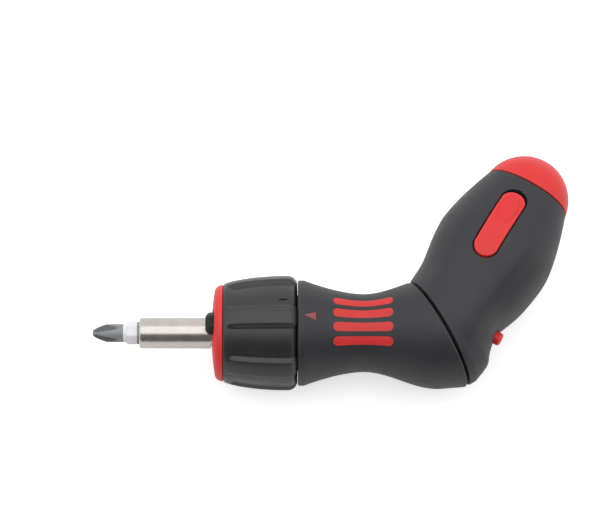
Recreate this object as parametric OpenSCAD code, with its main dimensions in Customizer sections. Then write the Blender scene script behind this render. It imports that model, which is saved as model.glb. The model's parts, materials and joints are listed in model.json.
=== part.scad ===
// Ratcheting screwdriver with a twist-over pistol handle, lying on its side.
// Millimetres. +X runs from the bit back along the drive axis, +Y to the handle, +Z up.
// The origin is on the drive axis, at the mouth of the bit holder.

/* [Drive bits] */
// Width across flats of the hexagon shank
hex_af = 6.35; // [6:0.05:7]
// Length of one bit
bit_len = 25; // [22:0.5:28]
// Length of bit in front of the holder
bit_out = 14.9; // [13:0.1:17]
// Diameter of the round neck
bit_neck_d = 5.8; // [5:0.1:6.2]
// Length of the tapered tip
bit_cone = 4.4; // [3.5:0.1:6]
// Number of bits in the magazine
stored_count = 5; // [3:1:5]

/* [Bit holder and shaft] */
// Outside diameter of the bit holder
holder_d = 9.8; // [9.4:0.1:10.2]
// Length of the holder in front of the ring
holder_len = 22.8; // [20:0.2:26]
// Diameter of the drive shaft
shaft_d = 7; // [6.4:0.1:7.4]

/* [Front ring and selector] */
// Length of the front ring
ring_len = 3.7; // [3.2:0.1:4.5]
// Radius of the front ring at its back
ring_r = 15.4; // [15:0.1:16]
// Length of the selector ring
selector_len = 23.3; // [23:0.1:26]
// Largest radius over the ribs
selector_r = 18.3; // [17.8:0.1:20]
// Number of ribs on the selector ring
rib_count = 6; // [4:1:8]
// Height of the ribs
rib_h = 1; // [0.5:0.05:1.2]
// Distance of the parked spare bit from the drive axis
spare_rho = 9.4; // [9.3:0.05:9.6]
// Length of spare bit that stands out of the ring
spare_out = 1.8; // [1.5:0.1:3]

/* [Ratchet] */
// Teeth on the ratchet wheel
teeth = 24; // [24:12:24]
// Width of the ratchet wheel
gear_w = 5; // [4.5:0.1:5]

/* [Barrel] */
// Radius at the front of the barrel
front_r = 16.85; // [16.6:0.05:18]
// Distance from the barrel front to the waist
waist_at = 20.5; // [19:0.5:23]
// Radius at the waist
waist_r = 12.45; // [12:0.05:14]
// Distance from the barrel front to the widest part of the bell
bell_at = 44.7; // [44:0.1:46]
// Radius of the bell
bell_r = 17.9; // [17.5:0.1:19]
// Thickness of the soft skin
skin = 1.5; // [1.2:0.1:1.6]

/* [Swivel and handle] */
// Angle between drive axis and handle axis
bend = 60; // [58:1:62]
// Distance from the barrel front to the crossing of both axes
cross_at = 46.8; // [46:0.1:48]
// Distance from the parting plane to the crossing of both axes
seam_lead = 2.35; // [2:0.05:2.6]
// Gap at the parting plane
seam_gap = 0.6; // [0.5:0.1:0.8]
// Half width of the handle at its base
base_w = 17.2; // [17:0.1:18.5]
// Half width of the handle at the belly
belly_w = 19.5; // [19:0.1:21]
// Half width of the handle at the end cap
end_w = 14.3; // [14.2:0.1:15.5]
// Distance of the belly from the crossing of both axes
belly_s = 32; // [30:0.5:34]
// Distance of the end cap joint from the crossing of both axes
end_s = 54; // [53.5:0.5:58]
// Share by which the handle is thinner than wide at its end
slim = 0.07; // [0:0.01:0.2]
// Height of the end cap dome
dome_h = 13; // [12:0.5:15]
// Wall of the handle halves
wall = 2.2; // [2:0.1:2.2]

/* [Hidden] */

$fn = 64;
fit = 0.05;       // close sliding fit, radial
gap = 0.3;        // free space between moving pieces
eps = 0.02;       // over-cut
half = bend / 2;  // angle of the swivel axis

hex_r = hex_af / 2 / cos(30);
socket_af = hex_af + 2 * fit;
bit_turn = 30;    // a flat of the driver bit faces up
shank_in = bit_len - bit_out;
holder_r = holder_d / 2;
neck_r = holder_r - 0.6;
shaft_r = shaft_d / 2;
tail_r = shaft_r - 0.5;

ring_x = holder_len + gap;
ring_end = ring_x + ring_len;
sel_x = ring_end + gap / 3;
sel_end = sel_x + selector_len;
barrel_x = sel_end + seam_gap;
nose_x = ring_x + 2.1;
nose_end = sel_end - 3;
nose_r = 13.7;
bush_r = 4.8;
screw_rho = 9.8;
screw_angles = [0, 144, 216];
post_r = 1.7;

gear_x = nose_end + 0.9;
gear_end = gear_x + gear_w;
plate_x = gear_end + 1.3;
plate_end = plate_x + 2.3;
bush_end = plate_end + 3.1;
shaft_end = bush_end + 2.4;
gear_tip = 7.2;
gear_root = 5.95;
pin_rho = 9.9;
pawl_pin_r = 1.2;
cavity_r = 12.3;
tube_r = 8.6;

waist_x = barrel_x + waist_at;
bell_x = barrel_x + bell_at;
cross_x = barrel_x + cross_at;
seam_x0 = cross_x - seam_lead / cos(half);
centre = [cross_x - seam_lead * cos(half), -seam_lead * sin(half), 0];
wall_t = 4.8;     // thickness of the oblique end wall
swivel_pin_r = 2.6;
disc_t = 7.1;
disc_h = 2.2;
disc_r = 5.4;

disc_head_r = 3;  // head of the index screw
disc_head_h = 1.1;
washer_r = 0.7 * bell_r;

button_s = 6.8;   // lock button along the handle axis
button_r = 2.1;
guide_s = 19;
guide_r = 10;
guide_end = end_s - 4.5;
mag_r = guide_r - gap;
mag_s = guide_s + 6;
rack_rho = mag_r - 0.1 - hex_af / 2;
latch_s = 35.7;   // rocker along the handle axis
latch_q = -0.6;   // and to its back
pin_drop = 4.7;   // rocker pin below the crown
latch_len = 25.6;
latch_w = 7.9;

function ease(u) = let (c = min(1, max(0, u))) c * c * (3 - 2 * c);

// Outside radius of the barrel at a distance along the drive axis
function barrel_r(x) =
    x < waist_x
        ? waist_r + (front_r - waist_r) * pow(max(0, 1 - max(0, (x - barrel_x - 1.7) / (waist_at - 1.7))), 1.6)
        : x < bell_x
            ? waist_r + (bell_r - waist_r) * (1 - cos(180 * (x - waist_x) / (bell_x - waist_x))) / 2
            : bell_r - 0.08 * (x - bell_x);

// Where the barrel wall, thinned by cut, meets the parting plane at angle a
function seam_x(a, cut, k = 8) =
    k == 0 ? seam_x0 : seam_x0 - (barrel_r(seam_x(a, cut, k - 1)) - cut) * cos(a) * tan(half);

// Points given along the handle axis (s), to its back (q) and up (z)
function handle_pt(s, q, z) =
    [cross_x + s * cos(bend) + q * sin(bend), s * sin(bend) - q * cos(bend), z];

// Half width and half thickness of the handle
function half_w(s) = s < belly_s
    ? base_w + (belly_w - base_w) * (1 - cos(180 * min(1, max(0, (s - 10) / (belly_s - 10))))) / 2
    : belly_w - (belly_w - end_w) * pow(max(0, (s - belly_s) / (end_s - belly_s)), 1.45);
function half_b(s) = half_w(s) * (1.01 - slim * ease(s / end_s));
// Heel and thumb dip on the back of the handle
function heel(s) = 1.5 * exp(-pow((s + 2.8) / (s < -2.8 ? 9 : 3.2), 2)) - 2 * exp(-pow((s - 8.5) / 6, 2));
function se(v, m) = sign(v) * pow(abs(v), 2 / m);

// One ring of the handle surface: u runs from the parting plane to the neck station
neck_s = 20;
function rim_s(a, cut) = let (x = seam_x(a, cut) - cross_x, y = (seam_x0 - seam_x(a, cut)) / tan(half))
    x * cos(bend) + y * sin(bend) + seam_gap * cos(half);
function rim_q(a, cut) = let (x = seam_x(a, cut) - cross_x, y = (seam_x0 - seam_x(a, cut)) / tan(half))
    x * sin(bend) - y * cos(bend) + seam_gap * sin(half);
function rim_z(a, cut) = (barrel_r(seam_x(a, cut)) - cut) * sin(a);
function base_pt(u, a, cut) =
    let (s0 = rim_s(a, cut), s = s0 + (neck_s - s0) * u, g = ease(u),
         w = half_w(s) - cut, b = half_b(s) - cut,
         back = pow(max(0, -cos(a)), 3) * heel(s) * min(1, 15 * u))
    handle_pt(s, rim_q(a, cut) * (1 - g) - w * se(cos(a), 2.2) * g + back,
        rim_z(a, cut) * (1 - g) + b * se(sin(a), 2.2) * g);
function body_pt(s, a, cut) =
    handle_pt(s, -(half_w(s) - cut) * se(cos(a), 2.2), (half_b(s) - cut) * se(sin(a), 2.2));
function round_pt(s, a, r) = handle_pt(s, -r * cos(a), r * sin(a));

// Back of the handle at the lock button, and the button's pieces below it
button_u = (button_s - rim_s(180, 0)) / (neck_s - rim_s(180, 0));
button_skin = rim_q(180, 0) * (1 - ease(button_u)) + half_w(button_s) * ease(button_u)
    + heel(button_s) * min(1, 15 * button_u);
button_top = button_skin + 2.2;
pad_q = button_skin - wall - 2.3;
pad_h = 0.8;
seat_q = 7.1;     // spring seat, clear of the index screw
// A place of the handle (s, q) seen along the swivel axis and across it
function swivel_pt(s, q) = [seam_lead + s * cos(half) + q * sin(half), s * sin(half) - q * cos(half)];

module on_drive() { rotate([0, 90, 0]) children(); }
module on_swivel() { translate(centre) rotate([0, 90, half]) children(); }
module on_handle() { translate([cross_x, 0, 0]) rotate([0, 90, bend]) children(); }
module on_button() { translate(handle_pt(button_s, 0, 0)) rotate([0, 90, bend - 90]) children(); }
module tube(r1, r2, x0, x1) {
    translate([0, 0, x0]) difference() {
        cylinder(r = r1, h = x1 - x0);
        translate([0, 0, -1]) cylinder(r = r2, h = x1 - x0 + 2);
    }
}
module hex(af, h) { cylinder(r = af / 2 / cos(30), h = h, $fn = 6); }
module double_flat(r, af, h) {
    intersection() {
        cylinder(r = r, h = h);
        translate([-r - 1, -af / 2, -1]) cube([2 * r + 2, af, h + 2]);
    }
}

// A wound spring as one unbroken wire
module coil(r, wire, len, turns) {
    n = turns * 12;
    m = 6;
    pts = [for (i = [0:n], j = [0:m - 1])
        let (a = 30 * i, c = r + wire / 2 * cos(360 * j / m),
             z = wire / 2 + (len - wire) * i / n + wire / 2 * sin(360 * j / m))
        [c * cos(a), c * sin(a), z]];
    sides = [for (i = [0:n - 1], j = [0:m - 1], k = [0, 1])
        let (p = i * m + j, q = i * m + (j + 1) % m)
        k == 0 ? [p, p + m, q] : [q, p + m, q + m]];
    ends = concat([[for (j = [0:m - 1]) j]], [[for (j = [m - 1:-1:0]) n * m + j]]);
    polyhedron(points = pts, faces = concat(sides, ends), convexity = 8);
}

// A bit with its tip at zero and its shank along +Z
module bit_shape() {
    difference() {
        union() {
            rotate_extrude() polygon([[0, 0], [0.9, 0], [1.35, 0.35], [bit_neck_d / 2, bit_cone],
                [bit_neck_d / 2, 11.1], [0, 11.1]]);
            translate([0, 0, 11]) intersection() {
                hex(hex_af, bit_len - 11);
                rotate_extrude() polygon([[0, 0], [bit_neck_d / 2 + 0.1, 0], [hex_r + 0.1, 0.5],
                    [hex_r + 0.1, bit_len - 11.8], [hex_r - 0.8, bit_len - 11], [0, bit_len - 11]]);
            }
        }
        for (a = [45:90:315]) rotate([0, 0, a]) translate([1.85, 0, -0.5])
            rotate([0, 14, 0]) cylinder(r = 1.25, h = 12);
    }
}
module socket_screw(head_r, head_h, r, len) {
    difference() {
        union() {
            cylinder(r = head_r, h = head_h);
            translate([0, 0, head_h - eps]) cylinder(r = r, h = len);
        }
        translate([0, 0, -eps]) hex(head_r * 0.9, head_h * 0.6);
    }
}

module screwdriver_bit() {
    color("#8b8d8d") translate([-bit_out, 0, 0]) on_drive() rotate([0, 0, bit_turn]) bit_shape();
}
module bit_colour_band() {
    color("#f0f3f8") on_drive() difference() {
        union() {
            translate([0, 0, -5.1]) cylinder(r = bit_neck_d / 2 + 0.15, h = 1.3);
            translate([0, 0, -bit_out + 10.85]) rotate([0, 0, bit_turn]) hex(hex_af + 0.3, bit_out - 11.45);
        }
        translate([0, 0, -6]) cylinder(r = bit_neck_d / 2 + eps, h = 3);
        translate([0, 0, -bit_out + 11]) rotate([0, 0, bit_turn]) hex(hex_af + 2 * eps, 10);
    }
}
module bit_holder() {
    color("#c6c1bb") on_drive() difference() {
        union() {
            rotate_extrude() polygon([[0, 0], [holder_r - 0.8, 0], [holder_r - 0.23, 0.23],
                [holder_r, 0.8], [holder_r, holder_len], [0, holder_len]]);
            translate([0, 0, holder_len - eps]) cylinder(r = neck_r, h = nose_x - holder_len - gap);
        }
        translate([0, 0, -1]) rotate([0, 0, bit_turn]) hex(socket_af, shank_in + 1.5);
        cylinder(r1 = hex_r + 0.5, r2 = hex_r - 0.1, h = 0.5);
        translate([0, 0, shank_in]) cylinder(r = 2.5, h = 4);
        translate([0, 0, 2.4]) cylinder(r = hex_r + 0.62, h = 0.7);
        translate([0, 0, shank_in + 4 - eps]) cylinder(r = shaft_r + eps, h = holder_len);
    }
}
module socket_magnet() {
    color("#9a9a9c") on_drive() translate([0, 0, shank_in + 0.7]) cylinder(r = 2.45, h = 3);
}
module bit_snap_ring() {
    color("#b9b9b6") on_drive() translate([0, 0, 2.75]) rotate([0, 0, 15])
        rotate_extrude(angle = 330) translate([hex_r + 0.32, 0]) circle(r = 0.26, $fn = 24);
}
module drive_shaft() {
    color("#a8a9aa") on_drive() difference() {
        union() {
            translate([0, 0, shank_in + 4 + eps]) cylinder(r = shaft_r, h = gear_x - shank_in - 4);
            translate([0, 0, gear_x - eps]) double_flat(shaft_r, shaft_d - 1.2, gear_w);
            translate([0, 0, gear_end - 2 * eps]) cylinder(r = tail_r, h = shaft_end - gear_end);
        }
        tube(tail_r + 1, tail_r - 0.5, bush_end + 0.5, bush_end + 1.3);
    }
}
module ratchet_wheel() {
    pitch = 360 / teeth;
    color("#7d7f82") on_drive() translate([0, 0, gear_x]) difference() {
        union() {
            cylinder(r = gear_root, h = gear_w - eps);
            for (i = [0:teeth - 1]) rotate([0, 0, (i + 0.5) * pitch])
                linear_extrude(gear_w - eps) polygon([[gear_root - 0.4, -0.56],
                    [gear_tip, -0.25], [gear_tip, 0.25], [gear_root - 0.4, 0.56]]);
        }
        translate([0, 0, -1]) double_flat(shaft_r + fit, shaft_d - 1.2 + 2 * fit, gear_w + 2);
    }
}
module thrust_washer() {
    color("#b48a4a") on_drive() tube(5.4, tail_r + fit, gear_end + 0.1, plate_x - 0.2);
}
module shaft_circlip() {
    color("#55585b") on_drive() difference() {
        tube(tail_r + 1.2, tail_r - 0.45, bush_end + 0.55, bush_end + 1.25);
        translate([0, -1, bush_end]) cube([10, 2, 3]);
    }
}
module spare_bit() {
    color("#3f4043") translate([ring_x - spare_out + bit_len, 0, spare_rho])
        rotate([0, -90, 0]) bit_shape();
}
module front_ring() {
    r = ring_r;
    color("#d34e4b") on_drive() difference() {
        rotate_extrude() polygon([[0, ring_x], [r * 0.45, ring_x + 0.12], [r * 0.75, ring_x + 0.5],
            [r - 1.5, ring_x + 0.95], [r - 0.75, ring_x + 1.3], [r - 0.3, ring_x + 1.95],
            [r, ring_x + 2.8], [r, ring_end], [0, ring_end]]);
        translate([0, 0, ring_x - 1]) cylinder(r = neck_r + gap, h = 10);
        translate([-spare_rho, 0, ring_x - 1]) cylinder(r = hex_r + 0.25, h = 10);
        translate([0, 0, nose_x - eps]) cylinder(r = 12.05, h = 10);
    }
}
module nose_core() {
    color("#47474a") on_drive() difference() {
        union() {
            rotate_extrude() polygon([[0, nose_x], [12, nose_x], [12, ring_end + 0.3],
                [nose_r, ring_end + 0.3], [nose_r, ring_end + 4], [nose_r - 0.35, ring_end + 4.4],
                [nose_r - 0.35, nose_end - 4.6], [nose_r, nose_end - 4.2], [nose_r, nose_end], [0, nose_end]]);
            for (a = screw_angles) rotate([0, 0, a]) translate([screw_rho, 0, nose_end - eps])
                cylinder(r = post_r, h = plate_x - nose_end - eps);
        }
        translate([0, 0, nose_x - 1]) cylinder(r = shaft_r + gap, h = 40);
        translate([0, 0, nose_x + 4.8]) cylinder(r = bush_r, h = 40);
        translate([-spare_rho, 0, nose_x - 1]) hex(hex_af + 4 * fit, bit_len - spare_out - 0.7);
        for (a = screw_angles) rotate([0, 0, a]) translate([screw_rho, 0, nose_x - 1]) {
            cylinder(r = 1.05, h = 60);
            cylinder(r = 2.05, h = 2.9);
        }
        for (a = [30, -30]) rotate([0, 0, a]) translate([pin_rho, 0, nose_end - 2])
            cylinder(r = pawl_pin_r + eps, h = 10);
        translate([0, 7.5, nose_end - 2.2]) rotate([-90, 0, 0]) cylinder(r = 1.35, h = 10);
    }
}
module nose_screws() {
    color("#8f9194") on_drive() for (a = screw_angles) rotate([0, 0, a])
        translate([screw_rho, 0, nose_x + 0.35]) socket_screw(1.95, 1.5, 1, plate_end + 5.2 - nose_x - 1.85);
}
module front_bush() {
    color("#b48a4a") on_drive() tube(bush_r - eps, shaft_r + fit, nose_x + 4.85, nose_end - 0.2);
}
module rear_bush() {
    color("#b48a4a") on_drive() tube(4.48, tail_r + fit, plate_x, bush_end);
}
module ratchet_plate() {
    color("#85888b") on_drive() difference() {
        union() {
            translate([0, 0, plate_x]) cylinder(r = cavity_r - 0.1, h = plate_end - plate_x);
            translate([0, 0, plate_end - eps]) cylinder(r = 6.3, h = bush_end - plate_end);
        }
        translate([0, 0, plate_x - 1]) cylinder(r = 4.5, h = 20);
        for (a = screw_angles) rotate([0, 0, a]) translate([screw_rho, 0, plate_x - 1])
            cylinder(r = 1.05, h = 20);
        for (a = [30, -30]) rotate([0, 0, a]) translate([pin_rho, 0, plate_x - 1])
            cylinder(r = pawl_pin_r + eps, h = 20);
    }
}

// Radius of the selector ring over its ribs, and in the hollows between them
function rib_r(x) = x > sel_end - 3
    ? selector_r - 3 + sqrt(max(0, 9 - pow(x - sel_end + 3, 2)))
    : ring_r + (selector_r - ring_r) * pow(sin(90 * min(1, (x - sel_x) / (selector_len - 3.9))), 0.6);
function hollow_r(x) = rib_r(x) - rib_h * ease((x - sel_x - 0.4) / 3.6);
// Angles from the middle of a rib, where its flank starts and ends
rib_edge = 8.5;
rib_foot = 14.5;
rib_step = 360 / rib_count;
function ring_pt(x, a) =
    let (off = abs((a + rib_step / 2) % rib_step - rib_step / 2),
         k = ease((off - rib_edge) / (rib_foot - rib_edge)),
         r = rib_r(x) * (1 - k) + hollow_r(x) * k)
    [r * cos(a), r * sin(a), x];
module ring_solid() {
    lip = [for (i = [1:6]) selector_len - 3 + 3 * sin(15 * i)];
    xs = concat([0, 0.15, 0.4, 0.8, 1.5, 2.5, 4, 6, 9, 12, 16, selector_len - 3], lip);
    side = [0, rib_edge / 2, rib_edge, (rib_edge + rib_foot) / 2, rib_foot, (rib_foot + rib_step / 2) / 2];
    sector = concat(side, [rib_step / 2], [for (i = [5:-1:1]) rib_step - side[i]]);
    angles = [for (i = [0:rib_count - 1], a = sector) i * rib_step + a];
    m = len(angles);
    n = len(xs);
    bore = [for (x = [selector_len, 0], a = angles)
        [(nose_r - 2) * cos(a), (nose_r - 2) * sin(a), sel_x + x]];
    rows = n + 2;
    faces = [for (i = [0:rows - 1], j = [0:m - 1], t = [0, 1])
        let (p = i * m + j, q = i * m + (j + 1) % m,
             u = (i + 1) % rows * m + j, v = (i + 1) % rows * m + (j + 1) % m)
        t == 0 ? [p, u, q] : [q, u, v]];
    rotate([0, 0, 180]) polyhedron(
        points = concat([for (x = xs, a = angles) ring_pt(sel_x + x, a)], bore),
        faces = faces, convexity = 6);
}
module selector_ring() {
    color("#515153") on_drive() difference() {
        ring_solid();
        translate([0, 0, sel_x - 1]) cylinder(r = nose_r + 0.08, h = selector_len + 2);
        for (a = [-20, 0, 20]) rotate([0, 0, 90 + a]) translate([nose_r + 0.2, 0, nose_end - 2.2])
            sphere(r = 0.6);
        for (a = [0, 180]) rotate([0, 0, a]) translate([nose_r - 1, -1.25, nose_end - eps])
            cube([1.9, 2.5, 10]);
        mark_bar(eps);
    }
}
module selector_cam() {
    color("#b48a4a") on_drive() union() {
        tube(nose_r + 0.05, cavity_r + 0.05, nose_end + 0.2, sel_end + gap);
        for (m = [0, 1]) mirror([0, m, 0]) translate([0, 0, nose_end + 0.2]) cam_finger();
        for (a = [0, 180]) rotate([0, 0, a]) translate([nose_r - 1, -1.15, nose_end + 0.2])
            cube([1.7, 2.3, sel_end - nose_end - 0.7]);
    }
}
// Arm past the pawls with a ramp at its end, level with the lugs of the pawls
module cam_finger() {
    h = gear_end + 0.7 - nose_end;
    ramp = 0.8;
    difference() {
        intersection() {
            union() {
                cylinder(r = cavity_r - gap, h = h);
                cylinder(r = nose_r - 0.5, h = sel_end - nose_end - 0.2);
            }
            linear_extrude(h) polygon([[0, 0], [20 * cos(72), 20 * sin(72)],
                [20 * cos(92), 20 * sin(92)], [20 * cos(114), 20 * sin(114)]]);
        }
        translate([2.46 * cos(183), 2.46 * sin(183), -1]) cylinder(r = 10.32, h = h + 2);
        translate([0, 0, -1]) cylinder(r = 11.2, h = h + 1 - ramp);
    }
}
// Dash on the selector ring, in a shallow pocket of its own
module mark_bar(grow) {
    r = hollow_r(sel_end - 4) - 0.1;
    rotate([0, 0, 162]) translate([r - grow, -0.25 - grow, sel_end - 5.6 - grow])
        cube([0.25 + 2 * grow, 0.5 + 2 * grow, 2.6 + 2 * grow]);
}
module selector_mark() {
    color("#232325") on_drive() mark_bar(0);
}
module detent_ball() {
    color("#c0c2c4") on_drive() translate([0, nose_r - 1.3, nose_end - 2.2]) sphere(r = 1.25);
}
module detent_spring() {
    color("#b0b2b4") on_drive() translate([0, 7.6, nose_end - 2.2]) rotate([-90, 0, 0])
        coil(0.9, 0.4, 3.4, 3);
}

// Pawl with its pin at 45 degrees and its tip at 90 degrees round the wheel, and a lug on its tail
module pawl(width) {
    p = pin_rho * cos(45);
    difference() {
        union() {
            translate([p, p, 0]) cylinder(r = 2.1, h = width);
            linear_extrude(width) polygon([[-0.2, 6.68], [0.25, 6.68], [0.5, 7.95], [1.8, 8.3], [5, 7.2],
                [p, p], [p - 0.3, p + 2.05], [0.5, 9.3], [-3, 9.2], [-3.4, 8.7], [-1.2, 8.1], [-0.5, 7.95]]);
            translate([0, 0, width - eps]) linear_extrude(1.1)
                polygon([[-3, 9.2], [-3.4, 8.7], [-1.9, 8.3], [-1.5, 9.2]]);
        }
        translate([p, p, -1]) cylinder(r = pawl_pin_r + fit, h = width + 2);
    }
}
module forward_pawl() {
    color("#6f7275") on_drive() translate([0, 0, gear_x + 0.2]) rotate([0, 0, -15]) pawl(gear_w - 0.4);
}
module reverse_pawl() {
    color("#6f7275") on_drive() translate([0, 0, gear_x + 0.2]) mirror([0, 1, 0])
        rotate([0, 0, -15]) pawl(gear_w - 0.4);
}
module pawl_pins() {
    color("#c0c2c4") on_drive() for (a = [30, -30]) rotate([0, 0, a])
        translate([pin_rho, 0, nose_end - 1.9]) cylinder(r = pawl_pin_r, h = plate_end - nose_end + 1.9);
}
module pawl_springs() {
    color("#b0b2b4") on_drive() for (a = [30, -30]) rotate([0, 0, a])
        translate([pin_rho, 0, gear_end + 0.05]) coil(1.62, 0.4, 1.15, 2);
}

// Front side of the parting plane, up to t along the swivel axis
module before_seam(t) {
    on_swivel() translate([-60, -60, t - 120]) cube([120, 120, 120]);
}
barrel_xs = concat([0.35, 1.1, 1.7], [for (i = [1:9]) 1.7 + (waist_at - 1.7) * i / 9],
    [for (i = [1:12]) waist_at + (bell_at - waist_at) * i / 12], [bell_at + 5, bell_at + 12]);
barrel_back = barrel_x + bell_at + 12;
module barrel_solid(cut, x0) {
    inside = [for (x = barrel_xs) if (barrel_x + x >= x0) barrel_x + x];
    on_drive() rotate_extrude() polygon(concat([[0, x0]], [for (x = inside) [barrel_r(x) - cut, x]],
        [[0, barrel_back]]));
}
module barrel_grip() {
    color("#4a484b") difference() {
        intersection() {
            on_drive() rotate_extrude() polygon(concat(
                [[0, barrel_x], [front_r - 0.7, barrel_x], [front_r - 0.2, barrel_x + 0.25]],
                [for (x = barrel_xs) if (x > 0.5) [barrel_r(barrel_x + x), barrel_x + x]],
                [[0, barrel_back]]));
            before_seam(0);
        }
        barrel_solid(skin, barrel_x + 0.35);
        on_drive() translate([0, 0, barrel_x - 1]) cylinder(r = front_r - skin, h = 2);
        index_arrow_cut(0.03);
    }
}
module barrel_core() {
    core_cut = skin + eps;
    color("#37373a") difference() {
        intersection() {
            barrel_solid(core_cut, barrel_x + 0.35);
            before_seam(0);
        }
        on_drive() translate([0, 0, barrel_x - 1]) cylinder(r = cavity_r, h = plate_end - barrel_x + 1);
        on_drive() translate([0, 0, barrel_x]) cylinder(r = tube_r, h = waist_at + 5);
        intersection() {
            barrel_solid(core_cut + 2, waist_x);
            before_seam(-wall_t);
        }
        for (a = screw_angles) on_drive() rotate([0, 0, a]) translate([screw_rho, 0, plate_end - 1])
            cylinder(r = 1.02, h = 7);
        on_swivel() translate([0, 0, -20]) cylinder(r = swivel_pin_r + eps, h = 40);
    }
}
// Red arrow that points at the selector ring
module index_arrow_cut(grow) {
    x = barrel_x + 3.2;
    translate([x, 0, front_r - 1.6]) linear_extrude(1.6) polygon([[-1.3 - 2 * grow, 0],
        [2.3 + grow, 1.4 + 2 * grow], [2.3 + grow, -1.4 - 2 * grow]]);
}
module index_arrow() {
    color("#b9504d") intersection() {
        index_arrow_cut(0);
        on_drive() rotate_extrude($fn = 256) polygon(concat([[8, barrel_x + 1.2]],
            [for (x = [1.2, 1.7, 3.8, 6]) [barrel_r(barrel_x + x) - 0.03, barrel_x + x]],
            [[8, barrel_x + 6]]));
    }
}

module swivel_post() {
    color("#a8a9aa") on_swivel() difference() {
        union() {
            translate([0, 0, -wall_t - 2.3]) hex(9, 2.3);
            translate([0, 0, -wall_t - eps]) cylinder(r = swivel_pin_r, h = wall_t + disc_t);
            translate([0, 0, disc_t - 2 * eps]) double_flat(swivel_pin_r, 3.8, disc_h);
        }
        translate([0, 0, disc_t - 3]) cylinder(r = 1.02, h = 10);
        tube(swivel_pin_r + 1, swivel_pin_r - 0.4, seam_gap + 2.6, seam_gap + 3.2);
    }
}
module friction_washer() {
    color("#2e2e30") on_swivel() tube(washer_r, swivel_pin_r + 0.4, eps, seam_gap - 0.2);
}
module post_circlip() {
    color("#55585b") on_swivel() difference() {
        tube(swivel_pin_r + 1.2, swivel_pin_r - 0.35, seam_gap + 2.65, seam_gap + 3.15);
        translate([0, -0.9, seam_gap]) cube([10, 1.8, 5]);
    }
}
module index_disc() {
    color("#85888b") on_swivel() translate([0, 0, disc_t]) difference() {
        cylinder(r = disc_r, h = disc_h - 0.1);
        translate([0, 0, -1]) double_flat(swivel_pin_r + eps, 3.8 + 2 * eps, 10);
        for (a = [0, 180]) rotate([0, 0, a]) translate([-2.3, 3.9, -1]) cube([4.6, 5, 2.2]);
    }
}
module index_screw() {
    color("#8f9194") on_swivel() translate([0, 0, disc_t + disc_h + disc_head_h]) mirror([0, 0, 1])
        socket_screw(disc_head_r, disc_head_h, 1, 4.8);
}

// Handle halves: one closed skin made of an outer and an inner surface
rows_base = 12;
cols = 22;
out_s = [for (i = [1:10]) neck_s + (end_s - neck_s) * i / 10];
function outer_row(i, a) = i <= rows_base
    ? base_pt(i / rows_base, a, 0)
    : body_pt(out_s[i - rows_base - 1], a, 0);
function inner_row(i, a) = let (s = i <= rows_base ? 0 : out_s[i - rows_base - 1])
    i <= rows_base ? base_pt(i / rows_base, a, wall)
        : s < guide_end - 1 ? body_pt(min(s, guide_end - 1), a, wall)
        : round_pt(s, a, guide_r + eps);
module half_skin() {
    n = rows_base + len(out_s);
    c = cols + 1;
    angles = [for (j = [0:cols]) 180 * j / cols];
    outer = [for (i = [0:n], a = angles) outer_row(i, a)];
    inner = [for (i = [0:n], a = angles) inner_row(i, a)];
    k = len(outer);
    walls = [for (i = [0:n - 1], j = [0:cols - 1], side = [0, 1], t = [0, 1])
        let (p = i * c + j, q = p + c)
        side == 0
            ? (t == 0 ? [p, p + 1, q] : [q, p + 1, q + 1])
            : (t == 0 ? [k + p, k + q, k + p + 1] : [k + q, k + q + 1, k + p + 1])];
    rims = [for (j = [0:cols - 1], e = [0, 1], t = [0, 1])
        let (p = (e == 0 ? 0 : n * c) + j)
        e == 0
            ? (t == 0 ? [p, k + p, p + 1] : [p + 1, k + p, k + p + 1])
            : (t == 0 ? [p, p + 1, k + p] : [p + 1, k + p + 1, k + p])];
    joins = [for (i = [0:n - 1], e = [0, 1], t = [0, 1])
        let (p = i * c + (e == 0 ? 0 : cols), q = p + c)
        e == 0
            ? (t == 0 ? [p, q, k + p] : [q, k + q, k + p])
            : (t == 0 ? [p, k + p, q] : [q, k + p, k + q])];
    polyhedron(points = concat(outer, inner), faces = concat(walls, rims, joins), convexity = 6);
}
// Handle screws: place along the handle, to its back, and height of the head's seat
pillar_at = [15.8, -4.5];
pillar_z = half_b(pillar_at[0]) * 0.98 - wall - 0.3;
boss_at = [[end_s - 2.2, 12.2, -4.6], [end_s - 2.2, -12.2, -4.6],
    [pillar_at[0], pillar_at[1], -pillar_z - 1]];
module at_boss(b) { translate(handle_pt(b[0], b[1], 0)) children(); }
module button_hole() {
    on_button() translate([0, 0, 8]) cylinder(r = button_r + 0.15, h = 14);
}
module obround(l, w, h) {
    union() {
        translate([-(l - w) / 2, -w / 2, 0]) cube([l - w, w, h]);
        for (m = [-1, 1]) translate([m * (l - w) / 2, 0, 0]) cylinder(d = w, h = h);
    }
}
module at_latch() { translate(handle_pt(latch_s, latch_q, 0)) rotate([0, 0, bend]) children(); }
module handle_half_upper() {
    color("#4b4a4f") difference() {
        half_skin();
        at_latch() obround(latch_len + 1, latch_w + 0.6, 30);
        button_hole();
        for (b = [boss_at[0], boss_at[1]]) at_boss(b) translate([0, 0, -1]) cylinder(r = 1.02, h = 5);
    }
}
module handle_half_lower() {
    color("#4b4a4f") difference() {
        mirror([0, 0, 1]) half_skin();
        button_hole();
        for (b = boss_at) at_boss(b) {
            translate([0, 0, b[2] - 20]) cylinder(r = 1.7, h = 20);
            translate([0, 0, b[2] - 1]) cylinder(r = 1.05, h = 30);
        }
    }
}
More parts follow.
